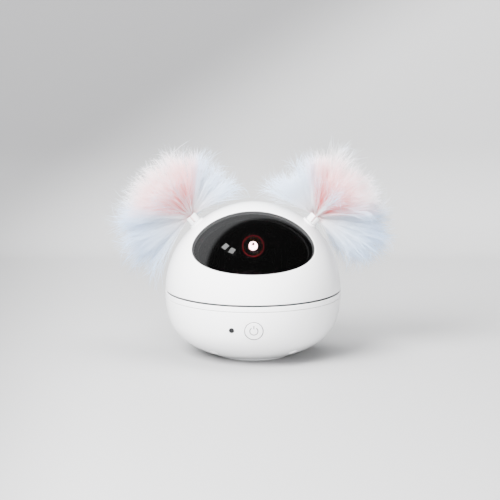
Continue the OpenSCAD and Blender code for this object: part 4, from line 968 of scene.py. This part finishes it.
def buildFerrule(sizes, side):
    r, corner, top, low = sizes["radius"], sizes["edgeRound"], sizes["top"], sizes["low"]
    plug, bore = sizes["plugRadius"], sizes["bore"]
    tip, chamfer, mouth = sizes["plugLow"], sizes["chamfer"], sizes["mouthRound"]
    profile = [(0, tip), (plug - chamfer, tip), (plug, tip + chamfer), (plug, low)]
    profile += arc((r - corner, low + corner), corner, -90, 0, 4)
    profile += arc((r - corner, top - corner), corner, 0, 90, 5)
    profile += arc((bore + mouth, top - mouth), mouth, 90, 180, 3)
    profile += [(bore, sizes["boreLow"]), (0, sizes["boreLow"])]
    collar = lathe("ferrule", profile, earPlace(side), steps=128)
    half, front = sizes["slitWidth"] / 2, r + 1
    corners = [(x, y, z) for z in (sizes["slitLow"], top + 1) for x, y in
               ((-half, -front), (half, -front), (half, -1), (-half, -1))]
    slit = addMesh("slit", [earPlace(side) @ Vector(c) for c in corners],
                   [(3, 2, 1, 0), (4, 5, 6, 7), (0, 1, 5, 4), (1, 2, 6, 5), (2, 3, 7, 6), (3, 0, 4, 7)])
    return carve(collar, [slit])


for side, name in ((-1, "left"), (1, "right")):
    ferrule = buildFerrule(ferruleSizes, side)
    ferrule.name = name + "Ferrule"
    settle(ferrule, name + "_feather", whiteShell, "white_shell", name + "_ferrule")
print("ferrules built")

# Feather plumes: locks of fine barbs that fan out from the quill, coral inside and blue-white outside.
# Each group gives its locks, the barbs of a lock, angles from the quill, bearings round it and lengths
plumeSizes = {
    "rootLow": 51.9,
    "root": 55.3,
    "rootSpread": 1.5,
    "rootBlur": 0.6,
    "quillRadius": 1.88,
    "barbRadius": 0.088,
    "barbThickness": (0.75, 1.25),
    "barbLength": (0.84, 1.03),
    "barbStart": (1.3, 0.8),
    "barbTurn": (0.45, 0.06),
    "tipShare": 0.5,
    "stemRadius": 0.14,
    "segments": 4,
    "lockSpread": 8.0,
    "bend": 0.07,
    "droop": 0.06,
    "clearOfDome": (51.3, 1.6),
    "glow": 0.12,
    "groups": [
        (48, 58, (2, 46), (0, 360), (36, 43)),
        (60, 62, (40, 97), (-4, 56), (38, 46)),
        (34, 36, (38, 100), (125, 188), (27, 37)),
        (16, 36, (48, 100), (60, 125), (30, 38)),
    ],
}


def unitRows(rows):
    return rows / np.linalg.norm(rows, axis=-1, keepdims=True)


# Curves of every barb of one plume: an array of barbs by points by xyz, and the radius of each barb
def plumeCurves(sizes, side, seed):
    random = np.random.default_rng(seed)
    axis = np.array(earAxis(side))
    outward = np.array((side * axis[2], 0, -side * axis[0]))
    back = np.array((0, 1.0, 0))
    middle = np.array(domeMiddle)
    root = middle + axis * sizes["root"]
    steps = np.linspace(0, 1, sizes["segments"] + 1)
    curves, radii = [], []
    power, share = sizes["barbStart"]
    turnAt, turnBlur = sizes["barbTurn"]
    for locks, count, tilts, bearings, lengths in sizes["groups"]:
        for _ in range(locks):
            tilt = acos(random.uniform(cos(radians(tilts[1])), cos(radians(tilts[0]))))
            bearing = radians(random.uniform(*bearings))
            across = cos(bearing) * outward + sin(bearing) * back
            way = cos(tilt) * axis + sin(tilt) * across
            long = random.uniform(*lengths)
            bend = random.normal(0, sizes["bend"], 3) + (0, 0, -sizes["droop"])
            blur = random.uniform(-1, 1, 3) * sizes["rootBlur"]
            base = root + (blur + across * min(1.0, tilt)) * sizes["rootSpread"]

            def along(t):
                t = np.asarray(t)[..., None]
                return base + way * long * t + bend * long * t * t

            start = random.uniform(0, 1, count) ** power * share
            start[0] = 0
            tips = unitRows(way + random.normal(0, radians(sizes["lockSpread"]), (count, 3)))
            reaches = long * random.uniform(*sizes["barbLength"], count)
            tips = base + tips * reaches[:, None] + bend * long
            first = along(start)
            reach = np.linalg.norm(tips - first, axis=1, keepdims=True)
            ahead = unitRows(way + 2 * start[:, None] * bend)
            turn = first + ahead * reach * turnAt + random.normal(0, turnBlur, (count, 3)) * reach
            s = steps[None, :, None]
            curves.append((1 - s) ** 2 * first[:, None] + 2 * s * (1 - s) * turn[:, None]
                          + s ** 2 * tips[:, None])
            thick = np.full(count, sizes["barbRadius"]) * random.uniform(*sizes["barbThickness"], count)
            thick[0] = sizes["stemRadius"]
            radii.append(thick)
    curves, radii = np.concatenate(curves), np.concatenate(radii)
    # nothing runs into the dome: what would is laid on it
    away = curves - middle
    far = np.linalg.norm(away, axis=-1, keepdims=True)
    nearest, spread = sizes["clearOfDome"]
    clear = nearest + random.uniform(0, spread, (len(curves), 1, 1))
    return middle + away * np.maximum(1, clear / far), radii


def buildPlume(sizes, side, seed):
    curves, radii = plumeCurves(sizes, side, seed)
    count, size = curves.shape[:2]
    ahead = np.empty_like(curves)
    ahead[:, 1:-1] = curves[:, 2:] - curves[:, :-2]
    ahead[:, 0], ahead[:, -1] = curves[:, 1] - curves[:, 0], curves[:, -1] - curves[:, -2]
    ahead = unitRows(ahead)
    u = unitRows(np.cross(ahead, (0.21, 0.93, 0.31)))
    v = np.cross(ahead, u)
    taper = np.linspace(1, sizes["tipShare"], size)[None, :-1, None] * radii[:, None, None]
    rings = [curves[:, :-1] + taper * (cos(a) * u[:, :-1] + sin(a) * v[:, :-1])
             for a in (0, 2 * pi / 3, 4 * pi / 3)]
    rings = np.stack(rings, axis=2).reshape(count, -1, 3)
    points = np.concatenate([rings, curves[:, -1:]], axis=1)
    each, faces = points.shape[1], [(2, 1, 0)]
    for i in range(0, 3 * (size - 2), 3):
        for k, m in ((0, 1), (1, 2), (2, 0)):
            faces += [(i + k, i + m, i + 3 + m), (i + k, i + 3 + m, i + 3 + k)]
    faces += [(each - 4 + k, each - 4 + (k + 1) % 3, each - 1) for k in range(3)]
    allFaces = (np.arange(count)[:, None, None] * each + np.array(faces)).reshape(-1, 3)
    r, low, root = sizes["quillRadius"], sizes["rootLow"], sizes["root"]
    profile = [(0, low), (r - 0.2, low), (r, low + 0.2), (r, root), (1.2, root + 0.9), (0, root + 1.2)]
    quill = lathe("plume", profile, earPlace(side), steps=32)
    down = addMesh("down", points.reshape(-1, 3).tolist(), allFaces.tolist(), 180)
    bpy.context.view_layer.update()
    both = [quill, down]
    with bpy.context.temp_override(active_object=quill, object=quill, selected_objects=both,
                                   selected_editable_objects=both):
        bpy.ops.object.join()
    smoothen(quill, 180)
    return quill


# Dye of a plume: coral round the quill, fading along the barbs, and blue-white outside that cone
def makeFeatherDye():
    group, source, result = newGroup("featherDye", {}, ["Root", "Axis"], (), ["Colour"])
    where = addNode(group, "ShaderNodeTexCoord")
    away = addNode(group, "ShaderNodeVectorMath", operation="SUBTRACT")
    far = addNode(group, "ShaderNodeVectorMath", operation="LENGTH")
    flat = addNode(group, "ShaderNodeVectorMath", operation="NORMALIZE")
    along = addNode(group, "ShaderNodeVectorMath", operation="DOT_PRODUCT")
    strands = addNode(group, "ShaderNodeTexNoise", {"Scale": 9.0, "Detail": 3.0})
    wander = addNode(group, "ShaderNodeMath", {1: 0.34}, operation="MULTIPLY_ADD")
    inCone = addRise(group, 0.73, 1.0, kind="SMOOTHSTEP")
    share = addRise(group, 0.0, 0.044)
    coral, pale = addNode(group, "ShaderNodeValToRGB"), addNode(group, "ShaderNodeValToRGB")
    rampStops(coral, [(0.0, (0.55, 0.01, 0.015)), (0.22, (0.78, 0.06, 0.06)), (0.45, (0.88, 0.29, 0.29)),
                      (0.70, (0.91, 0.62, 0.64)), (0.88, (0.86, 0.83, 0.87)), (1.0, (0.68, 0.78, 0.92))])
    rampStops(pale, [(0.0, (0.80, 0.38, 0.38)), (0.14, (0.82, 0.80, 0.84)), (0.45, (0.68, 0.79, 0.93)),
                     (1.0, (0.46, 0.63, 0.89))])
    blend = addMix(group)
    wire(group, (where, "Object", away, 0), (source, "Root", away, 1), (away, "Vector", far, 0),
         (away, "Vector", flat, 0), (flat, "Vector", along, 0), (source, "Axis", along, 1),
         (flat, "Vector", strands, "Vector"), (strands, "Fac", wander, 0), (along, "Value", wander, 2),
         (wander, 0, inCone, "Value"), (far, "Value", share, "Value"), (share, "Result", coral, "Fac"),
         (share, "Result", pale, "Fac"), (inCone, "Result", blend, "Factor"),
         (pale, "Color", blend, "A"), (coral, "Color", blend, "B"), (blend, "Result", result, "Colour"))
    return group


featherDye = makeFeatherDye()


def featherMaterial(name, side):
    material, tree, shader = newMaterial(name)
    axis = Vector(earAxis(side))
    root = (domeMiddle + axis * plumeSizes["root"]) * mm
    dye = addNode(tree, "ShaderNodeGroup", {"Root": root, "Axis": axis}, node_tree=featherDye)
    # painted light: a faint glow in the dye's own colours lifts the shade among the barbs
    wire(tree, (dye, "Colour", shader, "Base Color"), (dye, "Colour", shader, "Emission Color"))
    setInputs(shader, {"Roughness": 0.8, "Sheen Weight": 0.4, "Sheen Roughness": 0.4,
                       "Specular IOR Level": 0.2, "Emission Strength": plumeSizes["glow"]})
    return material


for side, name, seed in ((-1, "left", 11), (1, "right", 23)):
    plume = buildPlume(plumeSizes, side, seed)
    plume.name = name + "Plume"
    plume.visible_glossy = False
    settle(plume, name + "_feather", featherMaterial(name + "Down", side), "feather", name + "_plume")
    print(name, "plume built,", len(plume.data.polygons), "faces")

# Floor, wall and light round the toy
stageSizes = {
    "width": 520.0,
    "front": -1200.0,
    "wall": 330.0,
    "bend": 60.0,
    "height": 360.0,
    "floorColour": (0.335, 0.335, 0.338),
    "shadeColour": (0.15, 0.15, 0.153),
    "shadeWay": (-4.0, 0.0, 6.0),
    "shadeSpan": (0.3, 0.85),
}
roomSizes = {
    "brightWay": (-0.378, 0.790, -0.460),
    "edge": (-0.12, 0.02),
    "bright": (0.80, 0.81, 0.83),
    "dark": (0.016, 0.016, 0.016),
    "strength": 0.9,
}
lamps = {
    "key": {"at": (-420, -520, 620), "size": (520, 520), "power": 52.0, "seen": False},
    "top": {"at": (120, 40, 760), "size": (700, 500), "power": 18.0, "seen": False},
    "front": {"at": (80, -900, 130), "size": (700, 500), "power": 19.0, "seen": False},
    "paneLeft": {"at": (-325, -138, 572), "size": (74, 74), "power": 0.07, "seen": True},
    "paneRight": {"at": (-262, -246, 570), "size": (74, 74), "power": 0.06, "seen": True},
}


# Backdrop paint: painted shade darkens it towards its upper left
def backdropPaint(sizes):
    material, tree, shader = newMaterial("backdropPaint")
    blend = addShade(tree, "Object", sizes["shadeWay"], sizes["shadeSpan"], sizes["floorColour"],
                     sizes["shadeColour"])
    setInputs(shader, {"Roughness": 0.6})
    # seen from behind, the backdrop is clear
    facing = addNode(tree, "ShaderNodeNewGeometry")
    front = addNode(tree, "ShaderNodeMath", {0: 1.0}, operation="SUBTRACT")
    wire(tree, (blend, "Result", shader, "Base Color"), (facing, "Backfacing", front, 1),
         (front, 0, shader, "Alpha"))
    return material


def buildStage(sizes):
    half, wall, bend = sizes["width"] / 2, sizes["wall"], sizes["bend"]
    line = [(sizes["front"], 0), *arc((wall - bend, bend), bend, -90, 0, 12), (wall, sizes["height"])]
    points = [(x, y, z) for y, z in line for x in (-half, half)]
    faces = [(2 * i, 2 * i + 1, 2 * i + 3, 2 * i + 2) for i in range(len(line) - 1)]
    sweep = addMesh("floorAndWall", points, faces, 80)
    wear(sweep, backdropPaint(sizes))


def placeLamp(name, lamp):
    data = bpy.data.lights.new(name, "AREA")
    data.shape = "RECTANGLE"
    data.size, data.size_y = lamp["size"][0] * mm, lamp["size"][1] * mm
    data.energy = lamp["power"]
    obj = bpy.data.objects.new(name, data)
    obj.location = Vector(lamp["at"]) * mm
    obj.rotation_euler = (obj.location - domeMiddle * mm).to_track_quat("Z", "Y").to_euler()
    obj.visible_glossy = lamp["seen"]
    obj.visible_camera = False
    bpy.context.scene.collection.objects.link(obj)


buildStage(stageSizes)
for name, lamp in lamps.items():
    placeLamp(name, lamp)


# The room is bright behind the toy's left side and nearly dark in front, as the window reflects it
def buildRoom(sizes):
    world = bpy.data.worlds.new("room")
    bpy.context.scene.world = world
    world.use_nodes = True
    tree = world.node_tree
    blend = addShade(tree, "Generated", sizes["brightWay"], sizes["edge"], sizes["dark"],
                     sizes["bright"])
    sky = tree.nodes["Background"]
    setInputs(sky, {"Strength": sizes["strength"]})
    wire(tree, (blend, "Result", sky, "Color"))


buildRoom(roomSizes)
print("stage and lamps placed")
